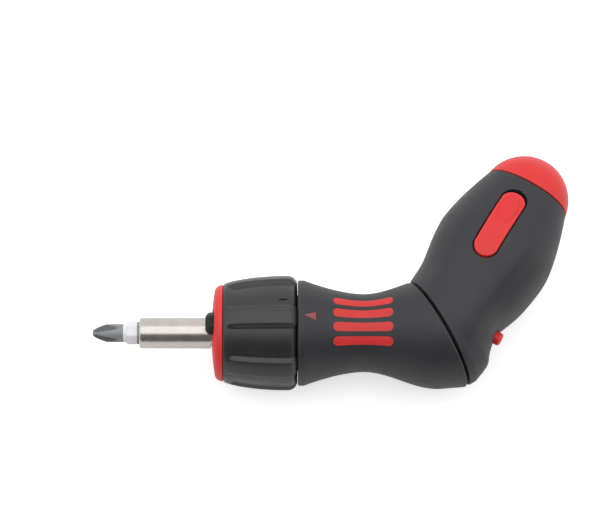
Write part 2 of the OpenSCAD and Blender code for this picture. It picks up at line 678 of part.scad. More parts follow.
module handle_frame() {
    flange_t = seam_gap + 0.1;
    color("#37373a") difference() {
        union() {
            on_swivel() translate([0, 0, flange_t]) cylinder(r = washer_r + 0.7, h = 2.3);
            on_handle() tube(guide_r + 1, guide_r, guide_s, guide_end - 1.2);
            on_handle() translate([0, 0, guide_s]) cylinder(r = guide_r + 0.5, h = 1.6);
            translate([cross_x, 0, -5]) rotate([0, 0, bend]) linear_extrude(10) polygon([[guide_s + 0.5, 9.5],
                [guide_s + 0.5, 3], [4.5, 6.5], [5.5, 12.4], [8, 13]]);
            translate([cross_x, 0, -2.5]) rotate([0, 0, bend]) linear_extrude(5)
                polygon([[guide_s + 0.4, -9], [guide_s + 0.4, 4], [15, 4], [15.2, -6],
                    [button_s - 1.7, 1.1 - seat_q], [button_s - 1.7, -seat_q], [button_s + 2.3, -seat_q],
                    [16.5, -9]]);
            at_boss(pillar_at) translate([0, 0, -pillar_z]) cylinder(r = 2.4, h = 2 * pillar_z);
            for (m = [-1, 1]) at_rocker() translate([-2, m * 4.85 - 0.45, lug_foot])
                cube([4, 0.9, 1.1 - pin_drop - lug_foot]);
        }
        on_swivel() translate([0, 0, -5]) cylinder(r = swivel_pin_r + fit, h = 5 + disc_t);
        on_swivel() translate([0, 0, disc_t - gap]) cylinder(r = disc_r + gap, h = disc_h + 2 * gap);
        on_swivel() translate([0, 0, disc_t])
            cylinder(r = disc_head_r + gap, h = disc_h + disc_head_h + gap);
        on_handle() translate([0, 0, guide_s + 1.6]) cylinder(r = guide_r, h = 60);
        at_latch() translate([hook_s - latch_s - 2, -2, 5]) cube([4, 4, 20]);
        at_rocker() translate([0, 10, -pin_drop]) rotate([90, 0, 0]) cylinder(r = 0.83, h = 20);
        at_boss(pillar_at) translate([0, 0, -30]) cylinder(r = 1.02, h = 30);
    }
}
module handle_screws() {
    color("#8f9194") for (b = boss_at) at_boss(b)
        translate([0, 0, b[2] - 1.2]) socket_screw(1.5, 1.2, 1, 8);
}

module lock_button() {
    foot = pad_q + pad_h + eps;
    color("#c44239") on_button() rotate_extrude() polygon([[0, foot], [button_r + 0.5, foot],
        [button_r + 0.5, foot + 0.7], [button_r, foot + 0.7], [button_r, button_top - 1.4],
        [button_r - 0.25, button_top - 0.65], [button_r - 0.75, button_top - 0.2], [0, button_top]]);
}
// Arm from the pad under the button to the tooth in front of the index disc
module lock_hook() {
    tooth = [disc_t - gap - 1.8, disc_t - gap];
    arm = pad_q + pad_h;
    inner = swivel_pt(3, pad_q);
    outer = swivel_pt(2.2, arm);
    color("#85888b") union() {
        on_button() translate([0, 0, pad_q]) cylinder(r = 1.6, h = pad_h);
        translate([centre[0], centre[1], -2]) rotate([0, 0, half]) linear_extrude(4) polygon([
            swivel_pt(button_s + 1.4, pad_q), inner, [tooth[1], inner[1] - 1.3], [tooth[1], -4.5],
            [tooth[0], -4.5], [tooth[0], outer[1] - 1], outer, swivel_pt(button_s + 1.4, arm)]);
    }
}
module lock_spring() {
    length = pad_q - seat_q - 0.1;
    color("#b0b2b4") on_button() translate([0, 0, seat_q + 0.05])
        coil(1.2, 0.35, length, max(2, floor(length / 0.9)));
}

// Rocker with its long side along the handle
latch_z = half_b(latch_s) + 0.15;
latch_tilt = atan((half_b(latch_s + 9) - half_b(latch_s - 9)) / 18);
module at_rocker() { at_latch() translate([0, 0, latch_z]) rotate([0, -latch_tilt, 0]) children(); }
latch_crown = 50;
// Foot of the lugs for the rocker pin, inside the wall of the magazine guide
lug_foot = 0.85 * guide_r - latch_z;
module latch_rocker() {
    color("#e45655") difference() {
        union() {
            at_rocker() intersection() {
                translate([0, 0, -3.4]) obround(latch_len, latch_w, 5);
                translate([0, 0, -latch_crown]) sphere(r = latch_crown, $fn = 256);
            }
            at_rocker() translate([-1.8, -2.2, -pin_drop - 0.95]) cube([3.6, 4.4, pin_drop - 1.85]);
            at_rocker() translate([hook_x, -1.5, hook_z]) cube([1.6, 3, -hook_z - 3]);
        }
        at_rocker() translate([0, 10, -pin_drop]) rotate([90, 0, 0]) cylinder(r = 0.85, h = 20);
    }
}
// Hook of the rocker: it stops just clear of the magazine
hook_x = -6.6;
hook_z = (mag_r + gap + 0.1 + (hook_x + 1.6) * sin(-latch_tilt) - latch_z) / cos(latch_tilt);
hook_s = latch_s + (hook_x + 0.8) * cos(latch_tilt) + hook_z * sin(-latch_tilt);
module latch_pin() {
    color("#c0c2c4") at_rocker() translate([0, 5.2, -pin_drop]) rotate([90, 0, 0])
        cylinder(r = 0.8, h = 10.4);
}
// Seat of the latch spring, just clear of the magazine guide
spring_x = 7.5;
spring_z = (guide_r + 1.1 + (spring_x + 1.5) * sin(-latch_tilt) - latch_z) / cos(latch_tilt);
module latch_spring() {
    length = -3.45 - spring_z;
    color("#b0b2b4") at_rocker() translate([spring_x, 0, spring_z])
        coil(1.3, 0.4, length, max(2, floor(length / 0.8)));
}

// The bits leave room for the rocker's hook between two of them
rack_turn = asin(latch_q / mag_r);
module magazine() {
    color("#5a5a5e") on_handle() difference() {
        union() {
            translate([0, 0, mag_s]) cylinder(r = mag_r, h = end_s + gap - mag_s);
            translate([0, 0, end_s + gap - eps]) cylinder(r = 7, h = 4);
        }
        for (i = [0:stored_count - 1]) rotate([0, 0, 360 / stored_count * i + rack_turn]) {
            translate([rack_rho, 0, mag_s + 2]) rotate([0, 0, 30]) hex(hex_af + 4 * fit, bit_len + 0.4);
            translate([rack_rho, -2.9, mag_s + 2]) cube([10, 5.8, bit_len + 0.4]);
        }
        translate([0, 0, mag_s - 1]) cylinder(r = 1.55, h = 20);
        translate([0, 0, mag_s]) cylinder(r = 1.02, h = 60);
        translate([-mag_r - 1, -2.1 - latch_q, hook_s - 1.6]) cube([2.4, 4.2, 3.2]);
    }
}
module stored_bits() {
    color("#8b8d8d") on_handle() for (i = [0:stored_count - 1])
        rotate([0, 0, 360 / stored_count * i + rack_turn]) translate([rack_rho, 0, mag_s + 2.2])
            rotate([0, 0, 30]) bit_shape();
}
module ejector_spring() {
    color("#b0b2b4") on_handle() translate([0, 0, guide_s + 1.7]) coil(6, 0.7, mag_s - guide_s - 1.9, 4);
}
module end_cap() {
    n = 12;
    m = 44;
    s0 = end_s + gap;
    ss = [for (i = [0:n - 1]) dome_h * sin(90 * i / n)];
    rings = [for (x = ss, j = [0:m - 1])
        let (k = (end_w - 0.16 * x) * sqrt(max(0, 1 - pow(x / dome_h, 2.2))), a = 360 * j / m)
        handle_pt(s0 + x * (1 - gap / dome_h), -k * se(cos(a), 2.15), k * (1.01 - slim) * se(sin(a), 2.15))];
    tip = n * m;
    pts = concat(rings, [handle_pt(end_s + dome_h, 0, 0)]);
    sides = [for (i = [0:n - 2], j = [0:m - 1], t = [0, 1])
        let (p = i * m + j, q = i * m + (j + 1) % m)
        t == 0 ? [p, q, p + m] : [p + m, q, q + m]];
    top = [for (j = [0:m - 1]) [(n - 1) * m + j, (n - 1) * m + (j + 1) % m, tip]];
    base = [[for (j = [m - 1:-1:0]) j]];
    color("#eb4e4e") difference() {
        polyhedron(points = pts, faces = concat(sides, top, base), convexity = 4);
        on_handle() translate([0, 0, end_s - 5]) cylinder(r = 7.05, h = 9.35);
        on_handle() cylinder(r = 1.05, h = end_s + 6.4);
    }
}
module end_cap_screw() {
    color("#8f9194") on_handle() translate([0, 0, mag_s + 17.8])
        socket_screw(1.5, 1.2, 1, end_s + 6 - mag_s - 19);
}

screwdriver_bit();
bit_colour_band();
bit_holder();
socket_magnet();
bit_snap_ring();
drive_shaft();
ratchet_wheel();
thrust_washer();
shaft_circlip();
spare_bit();
front_ring();
nose_core();
nose_screws();
front_bush();
rear_bush();
ratchet_plate();
selector_ring();
selector_cam();
selector_mark();
detent_ball();
detent_spring();
forward_pawl();
reverse_pawl();
pawl_pins();
pawl_springs();
barrel_grip();
barrel_core();
index_arrow();
swivel_post();
friction_washer();
post_circlip();
index_disc();
index_screw();
handle_half_upper();
handle_half_lower();
handle_frame();
handle_screws();
lock_button();
lock_hook();
lock_spring();
latch_rocker();
latch_pin();
latch_spring();
magazine();
stored_bits();
ejector_spring();
end_cap();
end_cap_screw();
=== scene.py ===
"""Surfaces, finishes and studio of a ratcheting screwdriver with a twist-over pistol handle.

The shape functions work in millimetres. Round pieces on the drive axis use x along it, a radius and an
angle a that is 0 at +Y and 90 degrees at +Z. The handle uses s along its axis, q to its back and z up.
"""

import json
from math import atan2, cos, pi, radians, sin, tan
from types import SimpleNamespace

import bmesh
import bpy
import numpy as np
from bpy.props import FloatProperty, FloatVectorProperty, IntProperty, PointerProperty
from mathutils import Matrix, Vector


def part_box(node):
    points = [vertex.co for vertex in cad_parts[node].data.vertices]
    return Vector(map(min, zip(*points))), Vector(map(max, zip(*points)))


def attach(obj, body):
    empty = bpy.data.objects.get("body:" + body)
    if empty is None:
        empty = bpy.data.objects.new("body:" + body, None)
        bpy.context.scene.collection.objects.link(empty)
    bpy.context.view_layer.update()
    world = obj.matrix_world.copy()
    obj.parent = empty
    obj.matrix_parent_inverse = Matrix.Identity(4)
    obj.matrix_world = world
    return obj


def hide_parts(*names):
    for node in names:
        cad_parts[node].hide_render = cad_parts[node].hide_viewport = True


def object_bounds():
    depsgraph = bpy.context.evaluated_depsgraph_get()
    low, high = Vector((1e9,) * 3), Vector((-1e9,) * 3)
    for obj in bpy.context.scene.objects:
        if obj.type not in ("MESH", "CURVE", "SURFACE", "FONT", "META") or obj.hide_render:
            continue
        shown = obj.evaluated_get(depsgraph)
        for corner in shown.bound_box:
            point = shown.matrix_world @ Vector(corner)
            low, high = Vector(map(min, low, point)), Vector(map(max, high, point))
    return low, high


bl_info = {
    "name": "Ratcheting screwdriver",
    "version": (1, 0, 0),
    "blender": (4, 5, 0),
    "location": "View3D > Sidebar > Screwdriver",
    "description": "Builds the surfaces, finishes and studio of a ratcheting screwdriver",
    "category": "Add Mesh",
}

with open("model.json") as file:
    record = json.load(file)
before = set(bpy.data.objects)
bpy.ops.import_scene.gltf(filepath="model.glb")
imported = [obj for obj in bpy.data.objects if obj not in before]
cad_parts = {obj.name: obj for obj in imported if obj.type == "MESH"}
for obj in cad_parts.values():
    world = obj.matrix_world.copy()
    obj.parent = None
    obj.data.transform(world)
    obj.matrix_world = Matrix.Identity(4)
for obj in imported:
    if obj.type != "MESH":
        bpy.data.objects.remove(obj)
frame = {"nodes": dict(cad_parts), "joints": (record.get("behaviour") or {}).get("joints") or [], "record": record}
CAD_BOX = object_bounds()

MM = 0.001
SENSOR = 36.0
CLIP_END = 20.0


def corners(node):
    """Lowest and highest corner of a node, in millimetres."""
    return [np.array(corner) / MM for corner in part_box(node)]


JOINTS = {joint["name"]: joint for joint in frame["joints"]}
SEAM = np.array(JOINTS["handle_twist"]["pos_m"]) / MM
HALF = atan2(JOINTS["handle_twist"]["axis"][1], JOINTS["handle_twist"]["axis"][0])
BEND = atan2(JOINTS["magazine_slide"]["axis"][1], JOINTS["magazine_slide"]["axis"][0])
CROSS_X = SEAM[0] - SEAM[1] / tan(HALF)
SEAM_X = SEAM[0] + SEAM[1] * tan(HALF)
RING_FRONT, RING_BACK = corners("front_ring")
RIBS_FRONT, RIBS_BACK = corners("selector_ring")
RIBS_OVERHANG = 0.25
RIBS_END = RIBS_BACK[0] + RIBS_OVERHANG
BARREL_FRONT = corners("barrel_grip")[0][0]
ROCKER_PIN = np.array(JOINTS["latch_rock"]["pos_m"]) / MM
ROCKER_PIN_S = (ROCKER_PIN[0] - CROSS_X) * cos(BEND) + ROCKER_PIN[1] * sin(BEND)
ROCKER_SIDE = (ROCKER_PIN[0] - CROSS_X) * sin(BEND) - ROCKER_PIN[1] * cos(BEND)
BIT_TIP = corners("screwdriver_bit")[0][0]
SPARE_FRONT = corners("spare_bit")[0][0]
SPARE_HEIGHT = np.mean([corner[2] for corner in corners("spare_bit")])


def length(name, text, value):
    """A length property whose default is given in millimetres."""
    return FloatProperty(name=name, description=text, default=value * MM, min=0, unit="LENGTH", precision=5)


def srgb(*screen):
    """Linear colour of an 8-bit screen colour."""
    c = np.array(screen) / 255
    linear = np.where(c <= 0.04045, c / 12.92, ((c + 0.055) / 1.055) ** 2.4)
    return tuple(float(v) for v in linear)


def tone(name, text, *screen):
    """A colour property whose default is given as an 8-bit screen colour."""
    return FloatVectorProperty(
        name=name, description=text, default=srgb(*screen), size=3, min=0, max=1, subtype="COLOR")


class ScrewdriverSizes(bpy.types.PropertyGroup):
    """Sizes of the surfaces, as a maker would measure them."""

    hex_flats: length("Hexagon", "Width across flats of a bit's shank", 6.35)
    neck_diameter: length("Bit neck", "Diameter of a bit's round neck", 5.8)
    tip_cone: length("Tip cone", "Length of a bit's tapered tip", 4.4)
    bit_length: length("Bit length", "Whole length of a bit", 25)
    holder_diameter: length("Holder", "Outside diameter of the bit holder", 9.8)
    holder_length: length("Holder length", "Length of the holder in front of the red ring", 22.8)
    ring_radius: length("Front ring", "Radius of the red ring at its back", RING_BACK[1])
    rib_radius: length("Selector ring", "Largest radius of the selector ring over its ribs", RIBS_BACK[2])
    rib_height: length("Rib height", "Height of a rib on the selector ring", 1.25)
    rib_top: length("Rib top", "Half width of a rib at its top", 2.7)
    rib_foot: length("Rib foot", "Half width of a rib at its foot", 4.6)
    front_radius: length("Barrel front", "Radius at the front of the barrel", 16.85)
    waist_place: length("Waist place", "Distance from the barrel front to the waist", 20.5)
    waist_radius: length("Waist", "Radius at the waist", 12.45)
    bell_place: length("Bell place", "Distance from the barrel front to the bell", 44.7)
    bell_radius: length("Bell", "Radius of the bell", 17.9)
    skin: length("Skin", "Thickness of the soft skin on the barrel", 1.5)
    lip: length("Lip", "Rounding of the skin at the parting line", 0.6)
    seam_gap: length("Seam gap", "Gap at the parting line", 0.85)
    base_half: length("Handle base", "Half width of the handle at its base", 17.2)
    belly_half: length("Handle belly", "Half width of the handle at its belly", 19.5)
    end_half: length("Handle end", "Half width of the handle at the end cap", 14.3)
    belly_place: length("Belly place", "Distance of the belly from the crossing of the axes", 32)
    end_place: length("End place", "Distance of the end cap joint from the crossing of the axes", 54)
    dome: length("Dome", "Height of the end cap", 13)
    guide_radius: length("Magazine bore", "Radius of the bore that the magazine slides in", 10.05)
    rocker_length: length("Rocker length", "Length of the rocker button", 25.6)
    rocker_width: length("Rocker width", "Width of the rocker button", 7.9)
    rocker_crown: length("Rocker crown", "Radius of the rocker's crowned top", 50)
    rocker_top: length("Rocker top", "Height of the rocker's top over its pin", 4.7)
    button_place: length("Button place", "Distance of the lock button from the crossing of the axes", 6.8)
    button_radius: length("Button", "Radius of the lock button", 2.1)
    button_rise: length("Button rise", "Height of the lock button over the handle's back", 2.2)
    bar_length: length("Printed bar", "Length of a printed bar on the barrel", 19)
    bar_width: length("Bar width", "Width of a printed bar on the barrel", 2.7)
    bar_pitch: length("Bar pitch", "Distance from bar to bar", 4.3)
    camera_distance: length("Camera distance", "Distance from the camera to its target", 1200)
    frame_width: length("Frame width", "Width that the picture covers at the target", 193)


class ScrewdriverCounts(bpy.types.PropertyGroup):
    """Numbers of repeated shapes."""

    ribs: IntProperty(name="Ribs", description="Ribs on the selector ring", default=6, min=3, max=12)
    bars: IntProperty(name="Printed bars", description="Printed bars on the barrel", default=4, min=1, max=8)


class ScrewdriverColours(bpy.types.PropertyGroup):
    """Colours of the finishes."""

    grip: tone("Grip", "Soft skin of barrel and handle", 36, 35, 40)
    selector: tone("Selector", "Hard black plastic of the selector ring", 37, 37, 40)
    red: tone("Red", "Red plastic of cap, ring and buttons", 226, 46, 46)
    print_red: tone("Print", "Red ink on the barrel", 214, 44, 42)
    arrow: tone("Arrow", "Dull red of the pointing arrow", 152, 72, 70)
    nickel: tone("Nickel", "Plating of the bit holder", 202, 197, 191)
    # The bit colour is the painted shade in the flutes; the paler wings are painted light in the ground_steel
    # finish.
    bit: tone("Bit", "Ground steel of the bits, as dark as in its flutes", 104, 106, 107)
    band: tone("Band", "White colour band on the bit", 238, 239, 243)
    black_steel: tone("Black steel", "Blackened steel of spare bit and clips", 22, 22, 24)
    steel: tone("Steel", "Plain steel inside", 172, 173, 175)
    bronze: tone("Bronze", "Sintered bronze bushes", 126, 108, 80)
    inner_plastic: tone("Inner plastic", "Black plastic of frames and cores", 36, 36, 38)
    ink: tone("Ink", "Black printed dash", 8, 8, 9)


def sizes():
    """All sizes in millimetres, with the places that follow from them."""
    group = bpy.context.scene.screwdriver_sizes
    z = SimpleNamespace(**{key: getattr(group, key) / MM for key in ScrewdriverSizes.__annotations__})
    z.waist_x = BARREL_FRONT + z.waist_place
    z.bell_x = BARREL_FRONT + z.bell_place
    return z


def colours():
    """The colour properties of the scene."""
    return bpy.context.scene.screwdriver_colours


def ease(u):
    """Smooth step from 0 to 1: the clipped u squared times three less twice u."""
    c = np.clip(u, 0, 1)
    return c * c * (3 - 2 * c)


def bell(v, place, width):
    """Bell curve: e to the minus square of the distance from its place over its width."""
    return np.exp(-((v - place) / width) ** 2)


def sunk(away, depth, rim):
    """How far a skin turns in at an opening: eased from nothing, at rim outside its edge, to the depth half
    a millimetre further in."""
    return depth * ease((rim - away) / 0.5)


def spans(*parts):
    """Rising numbers made of stretches (from, to, count), each without its end, and the last end."""
    steps = [np.linspace(a, b, n, endpoint=False) for a, b, n in parts]
    return np.concatenate(steps + [[parts[-1][1]]])


def arc(count):
    """A quarter arc of radius 1: one less the cosine, which runs from 0 to 1, and one less the sine, which
    is cut back from 1 to 0."""
    t = np.linspace(0, pi / 2, count)
    return 1 - np.cos(t), 1 - np.sin(t)


def quad_grid(rows, columns, around, along):
    """Point numbers of a grid's quads, closed round its columns or along its rows where asked."""
    i = np.arange(rows if along else rows - 1)[:, None]
    j = np.arange(columns if around else columns - 1)[None, :]
    four = [(i, j), (i, j + 1), (i + 1, j + 1), (i + 1, j)]
    return np.stack([(a % rows) * columns + b % columns for a, b in four], -1).reshape(-1, 4)


def inside_out(points, quads):
    """True where the quads face inwards: the volume they enclose round the mean point is negative."""
    a, b, c, d = (points[quads[:, k]] - points.mean(0) for k in range(4))
    return np.sum(a * np.cross(b, c)) + np.sum(a * np.cross(c, d)) < 0


def weld(mesh):
    """Joins doubled points at poles and seams and drops loose ones."""
    work = bmesh.new()
    work.from_mesh(mesh)
    bmesh.ops.remove_doubles(work, verts=work.verts, dist=0.001 * MM)
    loose = [v for v in work.verts if not v.link_faces]
    bmesh.ops.delete(work, geom=loose, context="VERTS")
    work.to_mesh(mesh)
    work.free()


def add_surface(name, grid, around=True, along=False, keep=None, edge=None, hard=32, wall=0.0):
    """A mesh piece from a grid of points (rows, columns, 3) in millimetres.

    keep drops the quads with no point to keep, edge is a value at each point for worn edges and, on the bit, for
    the painted light of its wings, hard is the angle in degrees past which an edge is sharp, and wall is the
    thickness that an open skin gets inwards.
    """
    rows, columns = grid.shape[:2]
    points = grid.reshape(-1, 3)
    quads = quad_grid(rows, columns, around, along)
    if inside_out(points, quads):
        quads = quads[:, ::-1]
    if keep is not None:
        quads = quads[keep.ravel()[quads].any(axis=1)]
    mesh = bpy.data.meshes.new(name)
    mesh.vertices.add(len(points))
    mesh.vertices.foreach_set("co", (points * MM).astype(np.float32).ravel())
    mesh.loops.add(quads.size)
    mesh.loops.foreach_set("vertex_index", quads.astype(np.int32).ravel())
    mesh.polygons.add(len(quads))
    mesh.polygons.foreach_set("loop_start", np.arange(0, quads.size, 4, dtype=np.int32))
    if edge is not None:
        paler = mesh.attributes.new("edge", "FLOAT", "POINT")
        paler.data.foreach_set("value", np.broadcast_to(edge, (rows, columns)).astype(np.float32).ravel())
    mesh.update(calc_edges=True)
    weld(mesh)
    piece = bpy.data.objects.new(name, mesh)
    bpy.context.scene.collection.objects.link(piece)
    if wall:
        solid = piece.modifiers.new("Wall", "SOLIDIFY")
        solid.thickness = wall * MM
        solid.offset = -1
        walled = piece.evaluated_get(bpy.context.evaluated_depsgraph_get())
        piece.data = bpy.data.meshes.new_from_object(walled)
        piece.modifiers.clear()
    piece.data.shade_smooth()
    piece.data.set_sharp_from_angle(angle=radians(hard))
    return piece


def seat(piece, body, slot, finish, *stands_for):
    """Gives a piece its finish in a material slot, the body it rides on and the nodes it stands for. The slot
    argument is not used.
    """
    piece.data.materials.append(finish_of(finish))
    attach(piece, body)
    if stands_for:
        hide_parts(*stands_for)
    return piece


def revolved(x, r, a):
    """Points round the drive axis at x, radius r and angle a, each a column, a row or a full grid."""
    x, r, a = np.broadcast_arrays(x, r, a)
    return np.stack([x, r * np.cos(a), r * np.sin(a)], -1)


def turn(count):
    """Angles of a full turn without the last, which is the first again."""
    return np.linspace(0, 2 * pi, count, endpoint=False)


def column(*values):
    """A column of row values from numbers and arrays in a line."""
    return np.concatenate([np.atleast_1d(v) for v in values]).astype(float)[:, None]


def hexagon(flats, a, turned=0.0):
    """Radius of a hexagon at angle a: half the flats over the cosine of the angle from the nearest flat."""
    nearest = (a - turned + pi / 6) % (pi / 3) - pi / 6
    return flats / 2 / np.cos(nearest)


PATCHES = (0.3, 0.7)
SPOTS = (0.35, 0.65)


class Finish:
    """A procedural finish: fine grain as bump, cloudy colour and gloss, worn edges, and on the bit painted light
    on the wings and painted shade in the flutes.
    """

    def __init__(self, name, colour, roughness, metallic=0.0):
        self.material = bpy.data.materials.new(name)
        self.material.use_nodes = True
        self.tree = self.material.node_tree
        self.shader = self.tree.nodes["Principled BSDF"]
        self.sockets(Base_Color=(*colour, 1), Roughness=roughness, Metallic=metallic)
        self.colour, self.roughness = np.array(colour), roughness
        self.place = self.node("ShaderNodeTexCoord").outputs["Object"]

    def node(self, kind, **inputs):
        """A node of the tree with its inputs set by name."""
        made = self.tree.nodes.new(kind)
        for key, value in inputs.items():
            made.inputs[key.replace("_", " ")].default_value = value
        return made

    def join(self, output, target):
        """A link from an output to an input socket."""
        self.tree.links.new(output, target)

    def noise(self, grain, stretch=(1, 1, 1), detail=3.0):
        """Noise whose grains are that many metres wide, stretched along the axes."""
        spread = self.node("ShaderNodeMapping", Scale=stretch)
        self.join(self.place, spread.inputs["Vector"])
        made = self.node("ShaderNodeTexNoise", Scale=1 / grain, Detail=detail, Roughness=0.6)
        self.join(spread.outputs["Vector"], made.inputs["Vector"])
        return made.outputs["Fac"]

    def ramp(self, value, low, high, to_low, to_high):
        """A value mapped from one range to another and clamped."""
        made = self.node("ShaderNodeMapRange", From_Min=low, From_Max=high, To_Min=to_low, To_Max=to_high)
        self.join(value, made.inputs["Value"])
        return made.outputs["Result"]

    def mix(self, factor, first, second):
        """A colour between two, by a factor. A colour is an output or three numbers."""
        made = self.node("ShaderNodeMix")
        made.data_type = "RGBA"
        self.join(factor, made.inputs[0])
        for side, socket in ((first, made.inputs[6]), (second, made.inputs[7])):
            if isinstance(side, bpy.types.NodeSocket):
                self.join(side, socket)
            else:
                socket.default_value = (*side, 1)
        return made.outputs[2]

    def grain(self, width, depth, stretch=(1, 1, 1), strength=0.5):
        """Fine grain of that width and depth, in metres, as a bump."""
        bump = self.node("ShaderNodeBump", Strength=strength, Distance=depth)
        self.join(self.noise(width, stretch), bump.inputs["Height"])
        self.join(bump.outputs["Normal"], self.shader.inputs["Normal"])
        return self

    def cloud(self, width, tint, gloss):
        """Cloudy colour and gloss: patches of that width, lighter and darker by tint, rougher by gloss."""
        patches = self.noise(width, detail=4.0)
        even = self.ramp(patches, *PATCHES, 0, 1)
        self.shade = self.mix(even, self.colour * (1 - tint), np.minimum(self.colour * (1 + tint), 1))
        self.join(self.shade, self.shader.inputs["Base Color"])
        rough = self.ramp(patches, *PATCHES, self.roughness - gloss, self.roughness + gloss)
        self.join(rough, self.shader.inputs["Roughness"])
        return self

    def wear(self, paler, share, width=0.0006):
        """Edges rubbed towards a colour where the piece's own edge value is high and the noise agrees. On the bit
        the same mix is painted light, which makes the wings paler than the painted shade in the flutes.
        """
        mark = self.node("ShaderNodeAttribute")
        mark.attribute_name = "edge"
        spots = self.node("ShaderNodeMath")
        spots.operation = "MULTIPLY"
        self.join(mark.outputs["Fac"], spots.inputs[0])
        self.join(self.ramp(self.noise(width), *SPOTS, share / 4, share), spots.inputs[1])
        self.join(self.mix(spots.outputs[0], self.shade, paler), self.shader.inputs["Base Color"])
        return self

    def sockets(self, **values):
        """Values of the shader that are the same all over the surface."""
        for key, value in values.items():
            self.shader.inputs[key.replace("_", " ")].default_value = value
        return self


FINISHES = {
    # Soft-touch skin: matt, finely grained, a little paler where it is rubbed.
    "soft_grip": dict(
        colour="grip", roughness=0.52, cloud=(0.009, 0.07, 0.05), grain=(0.00028, 0.00003),
        wear=(srgb(84, 84, 88), 0.3), Specular_IOR_Level=0.58, Sheen_Weight=0.05, Sheen_Roughness=0.45),
    # Hard black plastic with a spark-eroded grain and rubbed rib edges.
    "selector_black": dict(
        colour="selector", roughness=0.36, cloud=(0.006, 0.08, 0.06), grain=(0.00045, 0.00004),
        wear=(srgb(84, 84, 87), 0.06), Specular_IOR_Level=0.62),
    # Satin red plastic with faint clouding.
    "satin_red": dict(
        colour="red", roughness=0.42, cloud=(0.011, 0.05, 0.05), grain=(0.00035, 0.00002),
        wear=(srgb(236, 96, 90), 0.3), Specular_IOR_Level=0.42),
    # Nickel plating over a turned sleeve: fine lines round the axis and soft stains.
    "turned_nickel": dict(
        colour="nickel", roughness=0.24, metallic=1.0, cloud=(0.004, 0.06, 0.05),
        grain=(0.0006, 0.000012, (9, 0.4, 0.4)), wear=(srgb(235, 232, 228), 0.3)),
    # Ground tool steel with fine marks, paler on its wings than in its flutes: painted light on the wings and
    # painted shade in the flutes.
    "ground_steel": dict(
        colour="bit", roughness=0.55, metallic=0.4, cloud=(0.0025, 0.1, 0.06),
        # The paler colour is painted light on the wings; the base colour is the painted shade of the flutes.
        grain=(0.0004, 0.00002, (3, 1, 1)), wear=(srgb(176, 178, 180), 0.85, 0.00018)),
    # Glossy white sleeve.
    "white_band": dict(colour="band", roughness=0.32, cloud=(0.003, 0.03, 0.06), grain=(0.0005, 0.00001)),
    # Dull red inlay, a little faded.
    "dull_red": dict(colour="arrow", roughness=0.5, cloud=(0.0012, 0.14, 0.08), grain=(0.0003, 0.00002)),
    # Red ink, thin and slightly uneven.
    "red_ink": dict(colour="print_red", roughness=0.46, cloud=(0.005, 0.06, 0.06), grain=(0.00028, 0.00002)),
    # Black ink of the dash on the selector ring.
    "black_ink": dict(
        colour="ink", roughness=0.8, cloud=(0.001, 0.2, 0.08), grain=(0.0003, 0.00001),
        Specular_IOR_Level=0.15),
    # Blackened steel with faint stains.
    "black_steel": dict(
        colour="black_steel", roughness=0.45, metallic=0.2, cloud=(0.002, 0.2, 0.1), grain=(0.0003, 0.00002),
        wear=(srgb(84, 83, 82), 0.4), Specular_IOR_Level=0.35),
    # Plain machined steel.
    "plain_steel": dict(
        colour="steel", roughness=0.34, metallic=1.0, cloud=(0.003, 0.08, 0.08),
        grain=(0.0004, 0.00001, (4, 1, 1))),
    # Sintered bronze with open pores.
    "sintered_bronze": dict(
        colour="bronze", roughness=0.6, metallic=1.0, cloud=(0.0015, 0.16, 0.08), grain=(0.00025, 0.00004)),
    # Glass-filled black plastic, matt, with a faint flow pattern.
    "filled_plastic": dict(
        colour="inner_plastic", roughness=0.58, cloud=(0.004, 0.12, 0.06), grain=(0.0003, 0.00004)),
}
SLOT_FINISHES = {
    "steel_tip": "ground_steel",
    "band_white": "white_band",
    "plated": "turned_nickel",
    "steel": "plain_steel",
    "bronze": "sintered_bronze",
    "black_steel": "black_steel",
    "red": "satin_red",
    "grip": "soft_grip",
    "black_plastic": "filled_plastic",
    "mark": "black_ink",
    "arrow": "dull_red",
}
MADE = {}


def make_finish(name, colour, roughness, cloud, grain, metallic=0.0, wear=None, **sockets):
    """The material of a row in the table of finishes."""
    made = Finish(name, getattr(colours(), colour), roughness, metallic).cloud(*cloud).grain(*grain)
    if wear:
        made.wear(*wear)
    return made.sockets(**sockets).material


def finish_of(name):
    """The material of that name, made once."""
    if name not in MADE:
        MADE[name] = make_finish(name, **FINISHES[name])
    return MADE[name]


HEX_TURN = radians(34)
WING_TURN = radians(24)
SHOULDER = 11.0
CHAMFER = 1.1
FLUTE_RADIUS, FLUTE_AWAY, FLUTE_LEAD, FLUTE_TILT = 1.25, 1.85, 0.5, radians(14)
CORE_RADIUS = 0.55


def bit_radius(x, a, z):
    """Radius of a bit at x behind its tip and angle a, and how deep its flutes are there.

    The radius is the least of a blunt cone, the round neck or the hexagon behind it, and four tilted round
    flutes, whose near wall lies at d cos b less the root of their radius squared less d sin b squared.
    """
    neck, step, shoulder_slope, tail_slope = z.neck_diameter / 2, 0.1, 1.4, 1.2
    cone = np.interp(x, [0, 0.3, 0.9, 2.3, z.tip_cone], [0.75, 1.1, 1.5, 2.15, neck])
    shoulder = neck + step + shoulder_slope * np.maximum(0, x - SHOULDER)
    tail = hexagon(z.hex_flats, pi / 6) - tail_slope * np.maximum(0, x - z.bit_length + CHAMFER)
    shank = np.minimum(np.minimum(hexagon(z.hex_flats, a, HEX_TURN), shoulder), tail)
    body = np.where(x < SHOULDER, cone, shank)
    away = FLUTE_AWAY + tan(FLUTE_TILT) * (x + FLUTE_LEAD)
    b = (a - WING_TURN) % (pi / 2) - pi / 4
    inside = FLUTE_RADIUS ** 2 - (away * np.sin(b)) ** 2
    wall = np.where(inside > 0, away * np.cos(b) - np.sqrt(np.maximum(inside, 0)), np.inf)
    r = np.minimum(body, np.maximum(wall, CORE_RADIUS))
    return r, body - r


